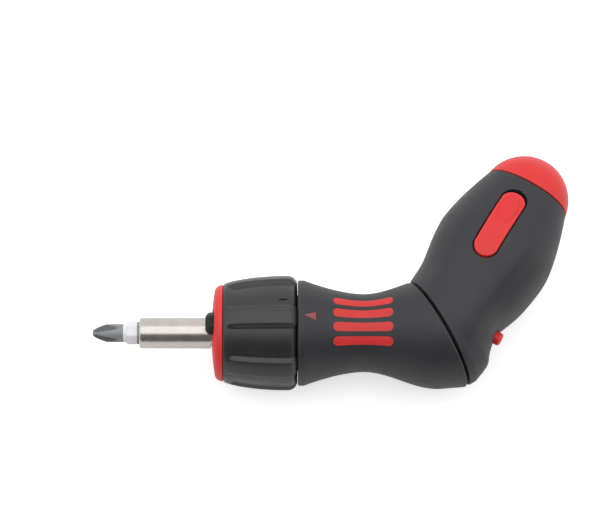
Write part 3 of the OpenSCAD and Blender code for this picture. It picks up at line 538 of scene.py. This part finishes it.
def bit_grid(z):
    """Rows, radii and angles of a bit with its tip at zero, closed at both ends, and its painted light: full on
    the wings, and none where a flute is deeper than the shaded depth, which is left as painted shade."""
    a = turn(192)
    blunt, step, tail, shaded = 0.35, SHOULDER + 0.5, z.bit_length - 1.5, 0.35
    x = spans((0, blunt, 4), (blunt, z.tip_cone, 30), (z.tip_cone, SHOULDER, 30), (SHOULDER, step, 6),
              (step, tail, 8), (tail, z.bit_length, 12))
    rows = column(0, x, z.bit_length)
    r, deep = bit_radius(rows, a[None, :], z)
    r[[0, -1]] = 0
    return rows, r, a, 1 - ease(deep / shaded)


class SCREWDRIVER_OT_bits(bpy.types.Operator):
    """Builds the driver bit with its fluted tip and the spare bit parked in the nose"""

    bl_idname = "screwdriver.bits"
    bl_label = "Bits"

    def execute(self, context):
        z = sizes()
        rows, r, a, edge = bit_grid(z)
        # The edge values paint the wings paler as painted light and leave painted shade in the flutes.
        driver = add_surface("driver_bit", revolved(BIT_TIP + rows, r, a), edge=edge)
        seat(driver, "bit", "steel_tip", "ground_steel", "screwdriver_bit")
        parked = revolved(SPARE_FRONT + z.bit_length - rows, r, a) + [0, 0, SPARE_HEIGHT]
        spare = add_surface("parked_bit", parked, edge=bell(rows, z.bit_length - CHAMFER, 0.2))
        seat(spare, "spare", "black_steel", "black_steel", "spare_bit")
        return {"FINISHED"}


def band_rows(x0, x1, bevel):
    """Rows of a sleeve from x0 to x1 with rounded ends: places and how far each row is drawn in."""
    run, cut = arc(5)
    return column(x0 + bevel * run, x1 - bevel * run[::-1]), column(bevel * cut, bevel * cut[::-1])


class SCREWDRIVER_OT_colour_band(bpy.types.Operator):
    """Builds the white colour band: a thin collar on the neck and a hexagon sleeve behind it"""

    bl_idname = "screwdriver.colour_band"
    bl_label = "Colour band"

    def execute(self, context):
        z = sizes()
        a = turn(144)
        lo, hi = corners("bit_colour_band")
        neck = z.neck_diameter / 2
        collar, sleeve, film, corner, bevel, sink = 1.3, 3.45, 0.15, 3.68, 0.2, 0.2
        six_sided = np.minimum(hexagon(z.hex_flats + 2 * film, a, HEX_TURN), corner)
        for name, x0, x1, r in (
            ("band_collar", lo[0], lo[0] + collar, np.full_like(a, neck + film)),
            ("band_sleeve", hi[0] - sleeve, hi[0], six_sided),
        ):
            x, cut = band_rows(x0, x1, bevel)
            bore = np.full((1, len(a)), neck - sink)
            rows = np.concatenate([bore, r[None, :] - cut, bore])
            places = np.concatenate([x[:1], x, x[-1:]])
            piece = add_surface(name, revolved(places, rows, a), along=True)
            seat(piece, "bit", "band_white", "white_band", "bit_colour_band")
        return {"FINISHED"}


class SCREWDRIVER_OT_holder(bpy.types.Operator):
    """Builds the plated bit holder with its rounded mouth, hexagon socket and two turned lines"""

    bl_idname = "screwdriver.holder"
    bl_label = "Bit holder"

    def execute(self, context):
        z = sizes()
        a = turn(192)
        rim, back, end = z.holder_diameter / 2, z.holder_length, corners("bit_holder")[1][0]
        rounding, line, shaft, clip, magnet = 0.8, 0.09, 3.52, 4.28, 2.5
        run, cut = arc(7)
        lines, dips = [1.9, 2.05, 2.25, 2.4], [rim, rim - line, rim - line, rim]
        x = column(0, rounding * run, lines, np.linspace(3, back - 0.15, 24),
                   back - 0.1, back - 0.03, back, back, end, end)
        r = column(rim - 0.95, rim - rounding * cut, dips, np.full(25, rim),
                   rim - 0.02, rim - 0.1, rim - 0.6, rim - 0.6, shaft)
        outer = np.broadcast_to(r, (len(r), len(a)))
        flared, socket = (hexagon(z.hex_flats + play, a, HEX_TURN) for play in (0.9, 0.1))
        groove, well = np.maximum(socket, clip), np.full_like(a, magnet)
        mouth = [flared, socket, socket, groove, groove, socket, socket, well, well]
        deep = [0.02, 0.5, 2.38, 2.4, 3.1, 3.12, 10.1, 10.1, 14.1]
        inner = np.stack([np.full_like(a, shaft)] + mouth[::-1])
        places = np.concatenate([x, column(deep[-1], deep[::-1])])
        edge = np.clip(bell(places, 0, 0.6) + bell(places, back, 0.4), 0, 1)
        grid = revolved(places, np.concatenate([outer, inner]), a)
        holder = add_surface("bit_holder_sleeve", grid, along=True, edge=edge)
        seat(holder, "spindle", "plated", "turned_nickel", "bit_holder")
        return {"FINISHED"}


class SCREWDRIVER_OT_front_ring(bpy.types.Operator):
    """Builds the red domed front ring with its bore and the pocket of the spare bit"""

    bl_idname = "screwdriver.front_ring"
    bl_label = "Front ring"

    def execute(self, context):
        z = sizes()
        x0, x1, rim = RING_FRONT[0], RING_BACK[0], z.ring_radius
        bore = z.holder_diameter / 2 - 0.3
        hole = hexagon(z.hex_flats, pi / 6) + 0.3
        soft, swell, lean, deep = 2.3, 2.5, 0.85, 1.4
        flat = rim - soft
        a = spans((0, pi / 3, 40), (pi / 3, 2 * pi / 3, 90), (2 * pi / 3, 2 * pi, 150))[:-1]
        face = spans((bore, flat - 0.1, 74), (flat - 0.1, flat, 1))
        run, cut = arc(26)
        x = column(x0 + deep, x0 + lean * ((face - bore) / (flat - bore)) ** 1.6,
                   x0 + lean + swell * run, x1 - 0.2, x1, x1)
        r = column(bore, face, rim - soft * cut, rim, rim - 0.2, rim - 3.4)
        grid = revolved(x, r, a)
        away = np.hypot(grid[..., 1], grid[..., 2] - SPARE_HEIGHT) - hole
        front = x < x0 + deep - 0.1
        grid[..., 0] += np.where(front, sunk(away, 1.0, 0.3), 0)
        keep = ~(front & (away < -0.35))
        piece = add_surface("red_front_ring", grid, keep=keep, edge=bell(r, rim, 0.4), wall=0.5)
        seat(piece, "barrel", "red", "satin_red", "front_ring")
        return {"FINISHED"}


BACK_ROUND = 3.0
CREST = 3.9


def rib_radius(x, z):
    """Selector ring over its ribs: it swells from the red ring to its crest as the 0.6th power of a sine,
    and rounds off with an arc at its back."""
    x0, x1 = RIBS_FRONT[0], RIBS_END
    swell = np.sin(pi / 2 * np.clip((x - x0) / (x1 - x0 - CREST), 0, 1)) ** 0.6
    past = np.maximum(0, x - x1 + BACK_ROUND)
    turned = BACK_ROUND - np.sqrt(np.maximum(0, BACK_ROUND ** 2 - past ** 2))
    return z.ring_radius + (z.rib_radius - z.ring_radius) * swell - turned


def ribbed_radius(x, a, z, count):
    """Outside radius of the selector ring at x and angle a, and how far it is hollowed there: not at all on
    a rib's flat top, fully past its sloped flanks, and eased in behind the front edge."""
    pitch = 2 * pi / count
    centre = pi / 2 + np.round((a - pi / 2) / pitch) * pitch
    beside = np.abs(a - centre) * z.rib_radius
    flank = ease((beside - z.rib_top) / (z.rib_foot - z.rib_top))
    hollow = flank * ease((x - RIBS_FRONT[0] - 0.4) / 3.6)
    return rib_radius(x, z) - z.rib_height * hollow, hollow


class SCREWDRIVER_OT_selector(bpy.types.Operator):
    """Builds the black selector ring with its flat-topped ribs and one printed dash"""

    bl_idname = "screwdriver.selector"
    bl_label = "Selector ring"

    def execute(self, context):
        z = sizes()
        count = context.scene.screwdriver_counts.ribs
        a = turn(540)
        x0, x1 = RIBS_FRONT[0], RIBS_END
        x = column(spans((x0, x0 + 1, 10), (x0 + 1, x0 + 6, 26), (x0 + 6, x1 - BACK_ROUND, 20)),
                   x1 - BACK_ROUND * arc(14)[1][1:-1], x1 - 0.005)
        outer, hollow = ribbed_radius(x, a[None, :], z, count)
        outer[-1] -= 0.2
        bore = corners("nose_core")[1][1] + 0.1
        grid = revolved(np.concatenate([x, column(x1, x0)]),
                        np.concatenate([outer, np.full((2, len(a)), bore)]), a)
        edge = np.zeros(grid.shape[:2])
        edge[:-2] = bell(hollow, 0.08, 0.07) + 0.4 * bell(x, x1 - 1, 0.8)
        piece = add_surface("selector_sleeve", grid, along=True, edge=np.clip(edge, 0, 1), hard=50)
        seat(piece, "selector", "black_plastic", "selector_black", "selector_ring")
        dash_long, dash_wide, dash_x, dash_turn = 2.7, 0.55, 46, radians(70.2)
        flat, rise = thin_patch(*obround(dash_long, dash_wide, 48))
        x, about = dash_x + flat[..., 0], dash_turn + flat[..., 1] / z.rib_radius
        r = ribbed_radius(x, about, z, count)[0] + rise
        dash = add_surface("printed_dash", revolved(x, r, about))
        seat(dash, "selector", "mark", "black_ink", "selector_mark")
        return {"FINISHED"}


BARREL_LAND = 1.7
BELL_TAPER = 0.08
LIP_REACH = 1.3


def barrel_radius(x, z):
    """Outside radius of the barrel: a 1.6th power from the front land to the waist, half a cosine wave from
    waist to bell and a slow taper behind it."""
    fore = 1 - np.clip((x - BARREL_FRONT - BARREL_LAND) / (z.waist_place - BARREL_LAND), 0, 1)
    rise = (1 - np.cos(pi * (x - z.waist_x) / (z.bell_x - z.waist_x))) / 2
    front = z.waist_radius + (z.front_radius - z.waist_radius) * fore ** 1.6
    back = z.waist_radius + (z.bell_radius - z.waist_radius) * rise
    behind = z.bell_radius - BELL_TAPER * (x - z.bell_x)
    return np.select([x < z.waist_x, x < z.bell_x], [front, back], behind)


def seam_place(a, cut, z):
    """Where the barrel wall, drawn in by cut, meets the parting plane at angle a, found by repetition."""
    x = np.full_like(a, SEAM_X)
    for _ in range(12):
        x = SEAM_X - (barrel_radius(x, z) - cut) * np.cos(a) * tan(HALF)
    return x


def barrel_grid(z):
    """Points of the barrel skin as one closed loop of rows: front face, rounded edge, outside, rounded
    lip at the parting plane, seam face and inside back to the front."""
    a = turn(288)
    nose, ahead = 0.6, 0.2
    run, cut = arc(7)
    front_x = BARREL_FRONT - ahead + column(0, (nose + ahead) * run)
    front_r = column(z.front_radius - z.skin, z.front_radius - nose * cut)
    start = seam_place(a, 0, z) - LIP_REACH * z.lip
    side_x = BARREL_FRONT + nose + (start - BARREL_FRONT - nose) * spans((0, 1, 110))[1:, None]
    u = np.linspace(0, 1, 12)[1:, None]
    lip_x = start + (seam_place(a, z.lip, z) - start) * u
    lip_r = barrel_radius(lip_x, z) - z.lip * (1 - np.sqrt(1 - u ** 2))
    inner = seam_place(a, z.skin, z)
    back_x = inner + (BARREL_FRONT + nose - inner) * np.linspace(0, 1, 36)[:, None]
    wide = np.ones_like(a)
    x = np.concatenate([front_x * wide, side_x, lip_x, back_x])
    r = np.concatenate([front_r * wide, barrel_radius(side_x, z), lip_r, barrel_radius(back_x, z) - z.skin])
    edge = np.concatenate([bell(front_x, BARREL_FRONT, 0.7) * wide, np.zeros_like(side_x),
                           np.sin(pi * u) * wide, np.zeros_like(back_x)])
    return revolved(x, r, a), edge


def patch(outline, spine, steps):
    """Points of a flat patch: rows run from the spine to the outline in the given steps."""
    return spine + steps[:, None, None] * (outline - spine)


def obround(long, wide, count):
    """Outline of a bar with round ends, and the spine point that each of its points belongs to. The way
    round is half an end arc, a side, the other end arc, a side and the rest of the first arc."""
    half, bow = (long - wide) / 2, pi * wide / 2
    marks = np.cumsum([0, bow / 2, 2 * half, bow, 2 * half, bow / 2])
    way = np.linspace(0, marks[-1], count, endpoint=False)
    angle = np.interp(way, marks, np.array([0, 0.5, 0.5, 1.5, 1.5, 2]) * pi)
    place = np.interp(way, marks, np.array([1, 1, -1, -1, 1, 1]) * half)
    spine = np.stack([place, 0 * place], -1)
    return spine + np.stack([np.cos(angle), np.sin(angle)], -1) * wide / 2, spine


def on_barrel(flat, rise, z):
    """Points of a flat patch (along, round) laid on the barrel's upper side, raised by rise."""
    r = barrel_radius(flat[..., 0], z) + rise
    return revolved(flat[..., 0], r, pi / 2 - flat[..., 1] / z.waist_radius)


def thin_patch(outline, spine):
    """A thin closed patch and the rise of its rows: its top a little over the skin, its underside in it."""
    over, under, rows = 0.025, -0.12, 6
    steps = np.concatenate([np.linspace(0, 1, rows), np.linspace(1, 0, rows)])
    return patch(outline, spine, steps), np.repeat([over, under], rows)[:, None]


class SCREWDRIVER_OT_barrel(bpy.types.Operator):
    """Builds the soft barrel skin, its pointing arrow and the plain printed bars"""

    bl_idname = "screwdriver.barrel"
    bl_label = "Barrel"

    def execute(self, context):
        z = sizes()
        grid, edge = barrel_grid(z)
        skin = add_surface("barrel_skin", grid, along=True, edge=edge, hard=50)
        seat(skin, "barrel", "grip", "soft_grip", "barrel_grip")
        (x0, y0, _), (x1, y1, _) = corners("index_arrow")
        slim, aside = 0.78, 0.3
        tips = np.array([[x0, 0], [x1, slim * y1], [x1, slim * y0], [x0, 0]]) + [0, aside]
        way = np.linspace(0, 3, 90, endpoint=False)
        outline = np.stack([np.interp(way, range(4), tips[:, k]) for k in (0, 1)], -1)
        spine = np.broadcast_to(tips[:3].mean(0), outline.shape)
        arrow = add_surface("pointing_arrow", on_barrel(*thin_patch(outline, spine), z))
        seat(arrow, "barrel", "arrow", "dull_red", "index_arrow")
        count = context.scene.screwdriver_counts.bars
        outline, spine = obround(z.bar_length, z.bar_width, 72)
        for i in range(count):
            place = [z.waist_x, z.bar_pitch * (i - (count - 1) / 2)]
            laid = on_barrel(*thin_patch(outline + place, spine + place), z)
            bar = add_surface(f"printed_bar_{i + 1}", laid)
            seat(bar, "barrel", "red", "red_ink")
        return {"FINISHED"}


def handle_point(s, q, z):
    """World place of a point along the handle (s), to its back (q) and up (z)."""
    s, q, z = np.broadcast_arrays(s, q, z)
    return np.stack([CROSS_X + s * cos(BEND) + q * sin(BEND), s * sin(BEND) - q * cos(BEND), z], -1)


BASE_END = 10.0
FULL, SLIM = 1.01, 0.07
NECK = 20.0
SQUARE = 2.2


def half_width(s, z):
    """Half width of the handle: half a cosine wave from base to belly, then a 1.45th power to the end."""
    rise = (1 - np.cos(pi * np.clip((s - BASE_END) / (z.belly_place - BASE_END), 0, 1))) / 2
    fall = np.clip((s - z.belly_place) / (z.end_place - z.belly_place), 0, 2)
    near = z.base_half + (z.belly_half - z.base_half) * rise
    return np.where(s < z.belly_place, near, z.belly_half - (z.belly_half - z.end_half) * fall ** 1.45)


def half_thick(s, z):
    """Half thickness of the handle: nearly round at the base and flatter towards the end."""
    return half_width(s, z) * (FULL - SLIM * ease(s / z.end_place))


def heel(s):
    """Heel and thumb dip on the back: a bell curve out, longer towards the parting plane, and one in."""
    heel_place, dip_place = -2.8, 8.5
    slope = np.where(s < heel_place, 9, 3.2)
    return 1.5 * bell(s, heel_place, slope) - 2 * bell(s, dip_place, 6)


def power(v, m):
    """Signed power that turns a circle's sine and cosine into those of a squarer curve."""
    return np.sign(v) * np.abs(v) ** (2 / m)


def base_point(u, a, cut, z):
    """Handle between the parting plane (u 0) and the neck (u 1): the barrel's rim, moved by the seam gap,
    eased into the squarer section of the handle, all drawn in by cut, with heel and dip on the back, which
    are full from a fifteenth of the way."""
    x = seam_place(a, cut, z)
    y = (SEAM_X - x) / tan(HALF)
    rim_s = (x - CROSS_X) * cos(BEND) + y * sin(BEND) + z.seam_gap * cos(HALF)
    rim_q = (x - CROSS_X) * sin(BEND) - y * cos(BEND) + z.seam_gap * sin(HALF)
    rim_z = (barrel_radius(x, z) - cut) * np.sin(a)
    s = rim_s + (NECK - rim_s) * u
    g = ease(u)
    back = np.maximum(0, -np.cos(a)) ** 3 * heel(s) * np.minimum(1, 15 * u)
    q = rim_q * (1 - g) - (half_width(s, z) - cut) * power(np.cos(a), SQUARE) * g + back
    up = rim_z * (1 - g) + (half_thick(s, z) - cut) * power(np.sin(a), SQUARE) * g
    return np.stack(np.broadcast_arrays(s, q, up), -1)


def body_point(s, a, cut, z):
    """Handle behind the neck: a squarer ellipse of the half width and half thickness, drawn in by cut."""
    q = -(half_width(s, z) - cut) * power(np.cos(a), SQUARE)
    up = (half_thick(s, z) - cut) * power(np.sin(a), SQUARE)
    return np.stack(np.broadcast_arrays(s, q, up), -1)


def handle_rows(a, joint, z):
    """Handle skin at angles a as rows of (s, q, up): seam face, rounded lip, base, body, rounded end,
    end face and magazine bore. joint draws the columns at the parting of the two halves in."""
    soft, inlet, coarse = 0.4, 4.2, 48.6
    u = np.linspace(1, 0, 12)[:, None]
    near = LIP_REACH * z.lip / (NECK - base_point(0, a, 0, z)[..., 0])
    face = base_point(0, a, np.linspace(z.skin + 0.6, z.lip, 4)[:-1, None] + 0 * a, z)
    lip = base_point(near * (1 - u), a, z.lip * (1 - np.sqrt(1 - u ** 2)) + joint, z)
    f = spans((0, 0.44, 30), (0.44, 0.68, 34), (0.68, 1, 24))[1:, None]
    base = base_point(near + (1 - near) * f, a, joint + 0 * f, z)
    s = spans((NECK, NECK + 0.6, 2), (NECK + 0.6, coarse, 100), (coarse, z.end_place - soft, 14))[1:, None]
    body = body_point(s, a, joint + 0 * s, z)
    run, cut = (side[1:, None] for side in arc(6))
    end = body_point(z.end_place - soft * cut, a, soft * run + joint, z)
    across, up = -z.guide_radius * np.cos(a), z.guide_radius * np.sin(a)
    bore = np.stack(np.broadcast_arrays(z.end_place, across, up), -1)
    mouth = end[-1] + (bore - end[-1]) * np.linspace(0, 1, 5)[1:, None, None]
    tube = bore - np.linspace(0, inlet, 4)[1:, None, None] * [1, 0, 0]
    edge = np.concatenate([np.zeros(len(face)), np.sin(pi * u[:, 0]), np.zeros(len(base) + len(body)),
                           np.ones(len(end)), np.zeros(len(mouth) + len(tube))])[:, None]
    return np.concatenate([face, lip, base, body, end, mouth, tube]), edge


def ridge(s, q, up):
    """Height of the soft ridge along each edge of the flat sides: a slow rise to a line that bends outwards
    as the square of s and a quicker fall behind it, fading out at both ends and towards the parting."""
    back, front, slow, quick = 0.9, 0.35, 8, 3.6
    inner, bend, middle = 9, 0.0045, 7
    start, end, fade_in, fade_out = -4, 46, 6, 14
    past = np.abs(q) - inner - bend * (s - middle) ** 2
    rise = np.clip(np.minimum(1 + past / slow, 1 - past / quick), 0, 1)
    along = ease((s - start) / fade_in) * ease((end - s) / fade_out) * ease(np.abs(up) / fade_in)
    return np.where(q > 0, back, front) * rise * along


def rocker_seat(z):
    """Place of the rocker's crown along the handle and its tilt, which follows the handle's slope there.
    The pin gives the place once the tilt is known, so the two are found by repetition."""
    place, step = ROCKER_PIN_S, 9.0
    for _ in range(6):
        rise = half_thick(np.array(place + step), z) - half_thick(np.array(place - step), z)
        tilt = atan2(rise, 2 * step)
        place = ROCKER_PIN_S - z.rocker_top * sin(tilt)
    return place, tilt


def beside_bar(x, y, long, wide):
    """Distance of points from the outline of a round-ended bar, negative inside it."""
    return np.hypot(np.maximum(np.abs(x) - (long - wide) / 2, 0), y) - wide / 2


class SCREWDRIVER_OT_handle(bpy.types.Operator):
    """Builds the two soft handle halves with the rocker's slot and the lock button's hole"""

    bl_idname = "screwdriver.handle"
    bl_label = "Handle halves"

    def execute(self, context):
        z = sizes()
        fine, parting = radians(0.45), 0.14
        slot_start, slot_end, back = radians(72), radians(108), radians(170)
        upper = spans((0, fine, 1), (fine, slot_start, 50), (slot_start, slot_end, 52), (slot_end, back, 48),
                      (back, pi - fine, 22), (pi - fine, pi, 1))
        lower = spans((pi, pi + fine, 1), (pi + fine, 2 * pi - back, 22), (2 * pi - back, 2 * pi - fine, 84),
                      (2 * pi - fine, 2 * pi, 1))
        for name, a, node in (
            ("handle_skin_upper", upper, "handle_half_upper"),
            ("handle_skin_lower", lower, "handle_half_lower"),
        ):
            joint = np.zeros_like(a)
            joint[[0, -1]] = parting
            rows, edge = handle_rows(a, joint, z)
            s, q, up = rows[..., 0], rows[..., 1], rows[..., 2]
            up = up + np.sign(up) * ridge(s, q, up)
            along, across = s - rocker_seat(z)[0], q - ROCKER_SIDE
            slot = beside_bar(along, across, z.rocker_length + 1, z.rocker_width + 0.6)
            slot = np.where(up > 6, slot, np.inf)
            hole = np.hypot(s - z.button_place, up) - z.button_radius - 0.2
            hole = np.where(q > 8, hole, np.inf)
            up = up - sunk(slot, 2.2, 0.2)
            q = q - sunk(hole, 1.6, 0.25)
            keep = (slot > -0.32) & (hole > -0.28)
            piece = add_surface(name, handle_point(s, q, up), around=False, keep=keep, edge=edge, wall=0.8)
            seat(piece, "handle", "grip", "soft_grip", node)
        return {"FINISHED"}


class SCREWDRIVER_OT_rocker(bpy.types.Operator):
    """Builds the red rocker button with its crowned top and a plain oval line for the thumb"""

    bl_idname = "screwdriver.rocker"
    bl_label = "Rocker button"

    def execute(self, context):
        z = sizes()
        outline, spine = obround(z.rocker_length, z.rocker_width, 320)
        flat_rows, foot_rows, soft, line_depth = 30, 6, 0.55, 0.28
        oval_place, oval_long, oval_wide = 5.6, 5, 3
        run, cut = (side[1:] for side in arc(8))
        share = soft / (z.rocker_width / 2)
        steps = np.concatenate([np.linspace(0, 1 - share, flat_rows), 1 - share * cut, [1, 1],
                                np.linspace(1, 0, foot_rows)])
        drop = column(np.zeros(flat_rows), soft * run, 1.4, 2.6, np.full(foot_rows, 3.2))
        row = np.arange(len(steps))[:, None]
        flat = patch(outline, spine, steps)
        x, y = flat[..., 0], flat[..., 1]
        crown = np.sqrt(z.rocker_crown ** 2 - x ** 2 - y ** 2) - z.rocker_crown
        oval = np.hypot((x - oval_place) / oval_long, y / oval_wide)
        line = np.where(row < flat_rows, bell(oval, 1, 0.08), 0)
        local_z = np.where(row < len(steps) - foot_rows, crown, 0) - drop - line_depth * line
        place, tilt = rocker_seat(z)
        along = x * cos(tilt) - local_z * sin(tilt)
        lift = x * sin(tilt) + local_z * cos(tilt)
        height = ROCKER_PIN[2] + z.rocker_top * cos(tilt)
        grid = handle_point(place + along, ROCKER_SIDE - y, height + lift)
        paler = np.where((steps > 0.85) & (steps < 1), 1.0, 0)[:, None]
        piece = add_surface("rocker_button", grid, edge=paler)
        seat(piece, "latch", "red", "satin_red", "latch_rocker")
        return {"FINISHED"}


class SCREWDRIVER_OT_lock_button(bpy.types.Operator):
    """Builds the small red lock button on the back of the handle"""

    bl_idname = "screwdriver.lock_button"
    bl_label = "Lock button"

    def execute(self, context):
        z = sizes()
        a = turn(72)
        run, cut = arc(9)
        soft, flange, thick, dimple = 0.75, 0.5, 0.7, 0.7
        start = base_point(0, np.array(pi), 0, z)[0]
        skin = base_point((z.button_place - start) / (NECK - start), np.array(pi), 0, z)[1]
        rim, top, foot = z.button_radius, skin + z.button_rise, skin - 4
        r = column(0, rim + flange, rim + flange, rim, rim, rim - soft * run, dimple, 0)
        h = column(foot, foot, foot + thick, foot + thick, top - soft - 0.1, top - soft * cut, top - 0.12,
                   top - 0.16)
        grid = handle_point(z.button_place + r * np.cos(a), h + 0 * a, r * np.sin(a))
        piece = add_surface("lock_push_button", grid, edge=bell(h, top - 0.3, 0.4))
        seat(piece, "lock", "red", "satin_red", "lock_button")
        return {"FINISHED"}


class SCREWDRIVER_OT_end_cap(bpy.types.Operator):
    """Builds the red domed end cap of the magazine"""

    bl_idname = "screwdriver.end_cap"
    bl_label = "End cap"

    def execute(self, context):
        z = sizes()
        a = turn(200)
        run, cut = arc(6)
        gap, soft, slant, square = 0.3, 0.35, 0.16, 2.15
        rise = z.dome * (1 - arc(60)[1])
        rise = rise[rise > soft]
        x = column(0, soft * run, rise)
        drawn = column(0, soft * cut, 0 * rise)
        k = (z.end_half - slant * x) * np.sqrt(np.maximum(0, 1 - (x / z.dome) ** 2.2)) - drawn
        k[[0, -1]] = 0
        s = z.end_place + gap + x * (1 - gap / z.dome) + 0 * a
        grid = handle_point(s, -k * power(np.cos(a), square), (FULL - SLIM) * k * power(np.sin(a), square))
        piece = add_surface("end_cap_dome", grid, edge=bell(x, 0, 0.5))
        seat(piece, "magazine_unit", "red", "satin_red", "end_cap")
        return {"FINISHED"}


class SCREWDRIVER_OT_works(bpy.types.Operator):
    """Gives the remaining nodes, mostly the works inside, the finish of their material slot"""

    bl_idname = "screwdriver.works"
    bl_label = "Works inside"

    def execute(self, context):
        for row in frame["record"]["subparts"]:
            node = frame["nodes"][row["node"]]
            if not node.hide_render:
                for slot in node.material_slots:
                    slot.material = finish_of(SLOT_FINISHES[row["material_slot"]])
        return {"FINISHED"}


class SCREWDRIVER_OT_stage(bpy.types.Operator):
    """Builds the pale floor, the even sky, the soft box with its cards and the camera"""

    bl_idname = "screwdriver.stage"
    bl_label = "Stage"

    def execute(self, context):
        scene = context.scene
        scene.view_settings.view_transform = "Standard"
        self.lay_floor()
        self.set_sky(scene)
        self.hang_lamp()
        self.aim_camera(scene)
        return {"FINISHED"}

    def lay_floor(self):
        """A flat sheet under the lowest point of the tool, which looks white and keeps its shadow."""
        level, reach, pale = CAD_BOX[0][2] / MM, 4000, 0.82
        x, y = np.meshgrid(*[np.linspace(-reach, reach, 9)] * 2, indexing="ij")
        floor = add_surface("floor", np.stack([x, y, np.full_like(x, level)], -1), around=False)
        finish = Finish("pale_floor", (pale, pale, pale), 0.95).cloud(0.2, 0.008, 0.02)
        seen = self.seen_rays(finish.tree, rest=0, camera=0.6, mirrored=0.15)
        finish.join(seen, finish.shader.inputs["Emission Strength"])
        finish.sockets(Emission_Color=(1, 1, 1, 1), Specular_IOR_Level=0.0)
        floor.data.materials.append(finish.material)

    def seen_rays(self, tree, rest, camera, mirrored):
        """One level for camera rays, one for glossy and transmission rays and one for the rest."""
        path = tree.nodes.new("ShaderNodeLightPath")
        level = None
        for kind, there in (("Glossy", mirrored), ("Transmission", mirrored), ("Camera", camera)):
            choice = tree.nodes.new("ShaderNodeMix")
            tree.links.new(path.outputs[f"Is {kind} Ray"], choice.inputs[0])
            choice.inputs[2].default_value, choice.inputs[3].default_value = rest, there
            if level:
                tree.links.new(level, choice.inputs[2])
            level = choice.outputs[0]
        return level

    def set_sky(self, scene):
        """An even white sky."""
        world = bpy.data.worlds.new("studio")
        world.use_nodes = True
        tree = world.node_tree
        sky = tree.nodes["Background"]
        sky.inputs["Color"].default_value = (1, 1, 1, 1)
        level = self.seen_rays(tree, rest=0.95, camera=1, mirrored=0.95)
        tree.links.new(level, sky.inputs["Strength"])
        scene.world = world

    def hang_lamp(self):
        """A wide soft box with a closed back over the tool, and a dark card before it, which draws the dark
        line on the metal."""
        wide, deep, centre, watts = 1600, 800, (55, 110, 800), 5.8
        card_wide, card_high, card_centre, dark = 1300, 680, (50, -350, 360), 0.15
        lamp = bpy.data.lights.new("soft_box", "AREA")
        lamp.shape = "RECTANGLE"
        lamp.size, lamp.size_y = wide * MM, deep * MM
        lamp.energy = watts
        box = bpy.data.objects.new("soft_box", lamp)
        box.location = Vector(centre) * MM
        box.visible_camera = False
        bpy.context.scene.collection.objects.link(box)
        paper = Finish("dark_paper", (dark, dark, dark), 0.9).cloud(0.05, 0.1, 0.02).material
        u, v = np.meshgrid(*[np.linspace(-0.5, 0.5, 5)] * 2, indexing="ij")
        back = np.stack([wide * u, deep * v, 20 + 0 * u], -1) + centre
        card = np.stack([card_wide * u, 0 * u, card_high * v], -1) + card_centre
        for name, grid in (("soft_box_back", back), ("dark_card", card)):
            sheet = add_surface(name, grid, around=False)
            sheet.data.materials.append(paper)
            sheet.visible_camera = False

    def aim_camera(self, scene):
        """A long lens that looks down at 70 degrees, with the drive axis level in the picture."""
        z = sizes()
        target = Vector((51.3, 23.5, 0)) * MM
        rise = radians(70)
        back = Vector((0, -cos(rise), sin(rise)))
        lens = bpy.data.cameras.new("camera")
        lens.sensor_width = SENSOR
        lens.lens = SENSOR * z.camera_distance / z.frame_width
        lens.clip_end = CLIP_END
        camera = bpy.data.objects.new("camera", lens)
        camera.location = target + back * z.camera_distance * MM
        camera.rotation_euler = (-back).to_track_quat("-Z", "Y").to_euler()
        scene.collection.objects.link(camera)
        scene.camera = camera


OPERATORS = (
    SCREWDRIVER_OT_bits,
    SCREWDRIVER_OT_colour_band,
    SCREWDRIVER_OT_holder,
    SCREWDRIVER_OT_front_ring,
    SCREWDRIVER_OT_selector,
    SCREWDRIVER_OT_barrel,
    SCREWDRIVER_OT_handle,
    SCREWDRIVER_OT_rocker,
    SCREWDRIVER_OT_lock_button,
    SCREWDRIVER_OT_end_cap,
    SCREWDRIVER_OT_works,
    SCREWDRIVER_OT_stage,
)


class SCREWDRIVER_PT_panel(bpy.types.Panel):
    """Lists the operators and the properties in the sidebar"""

    bl_idname = "SCREWDRIVER_PT_panel"
    bl_label = "Ratcheting screwdriver"
    bl_space_type = "VIEW_3D"
    bl_region_type = "UI"
    bl_category = "Screwdriver"

    def draw(self, context):
        for operator in OPERATORS:
            self.layout.operator(operator.bl_idname)
        for group in (context.scene.screwdriver_sizes, context.scene.screwdriver_counts,
                      context.scene.screwdriver_colours):
            box = self.layout.box()
            for key in type(group).__annotations__:
                box.prop(group, key)


GROUPS = {
    "screwdriver_sizes": ScrewdriverSizes,
    "screwdriver_counts": ScrewdriverCounts,
    "screwdriver_colours": ScrewdriverColours,
}


def register():
    """Registers the classes and hangs the property groups on the scene."""
    for kind in (*GROUPS.values(), *OPERATORS, SCREWDRIVER_PT_panel):
        bpy.utils.register_class(kind)
    for name, kind in GROUPS.items():
        setattr(bpy.types.Scene, name, PointerProperty(type=kind))


def unregister():
    """Takes everything that register added away again."""
    for name in GROUPS:
        delattr(bpy.types.Scene, name)
    for kind in reversed((*GROUPS.values(), *OPERATORS, SCREWDRIVER_PT_panel)):
        bpy.utils.unregister_class(kind)


def main():
    """Registers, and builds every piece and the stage."""
    register()
    for operator in OPERATORS:
        family, name = operator.bl_idname.split(".")
        getattr(getattr(bpy.ops, family), name)()


if __name__ == "__main__":
    main()
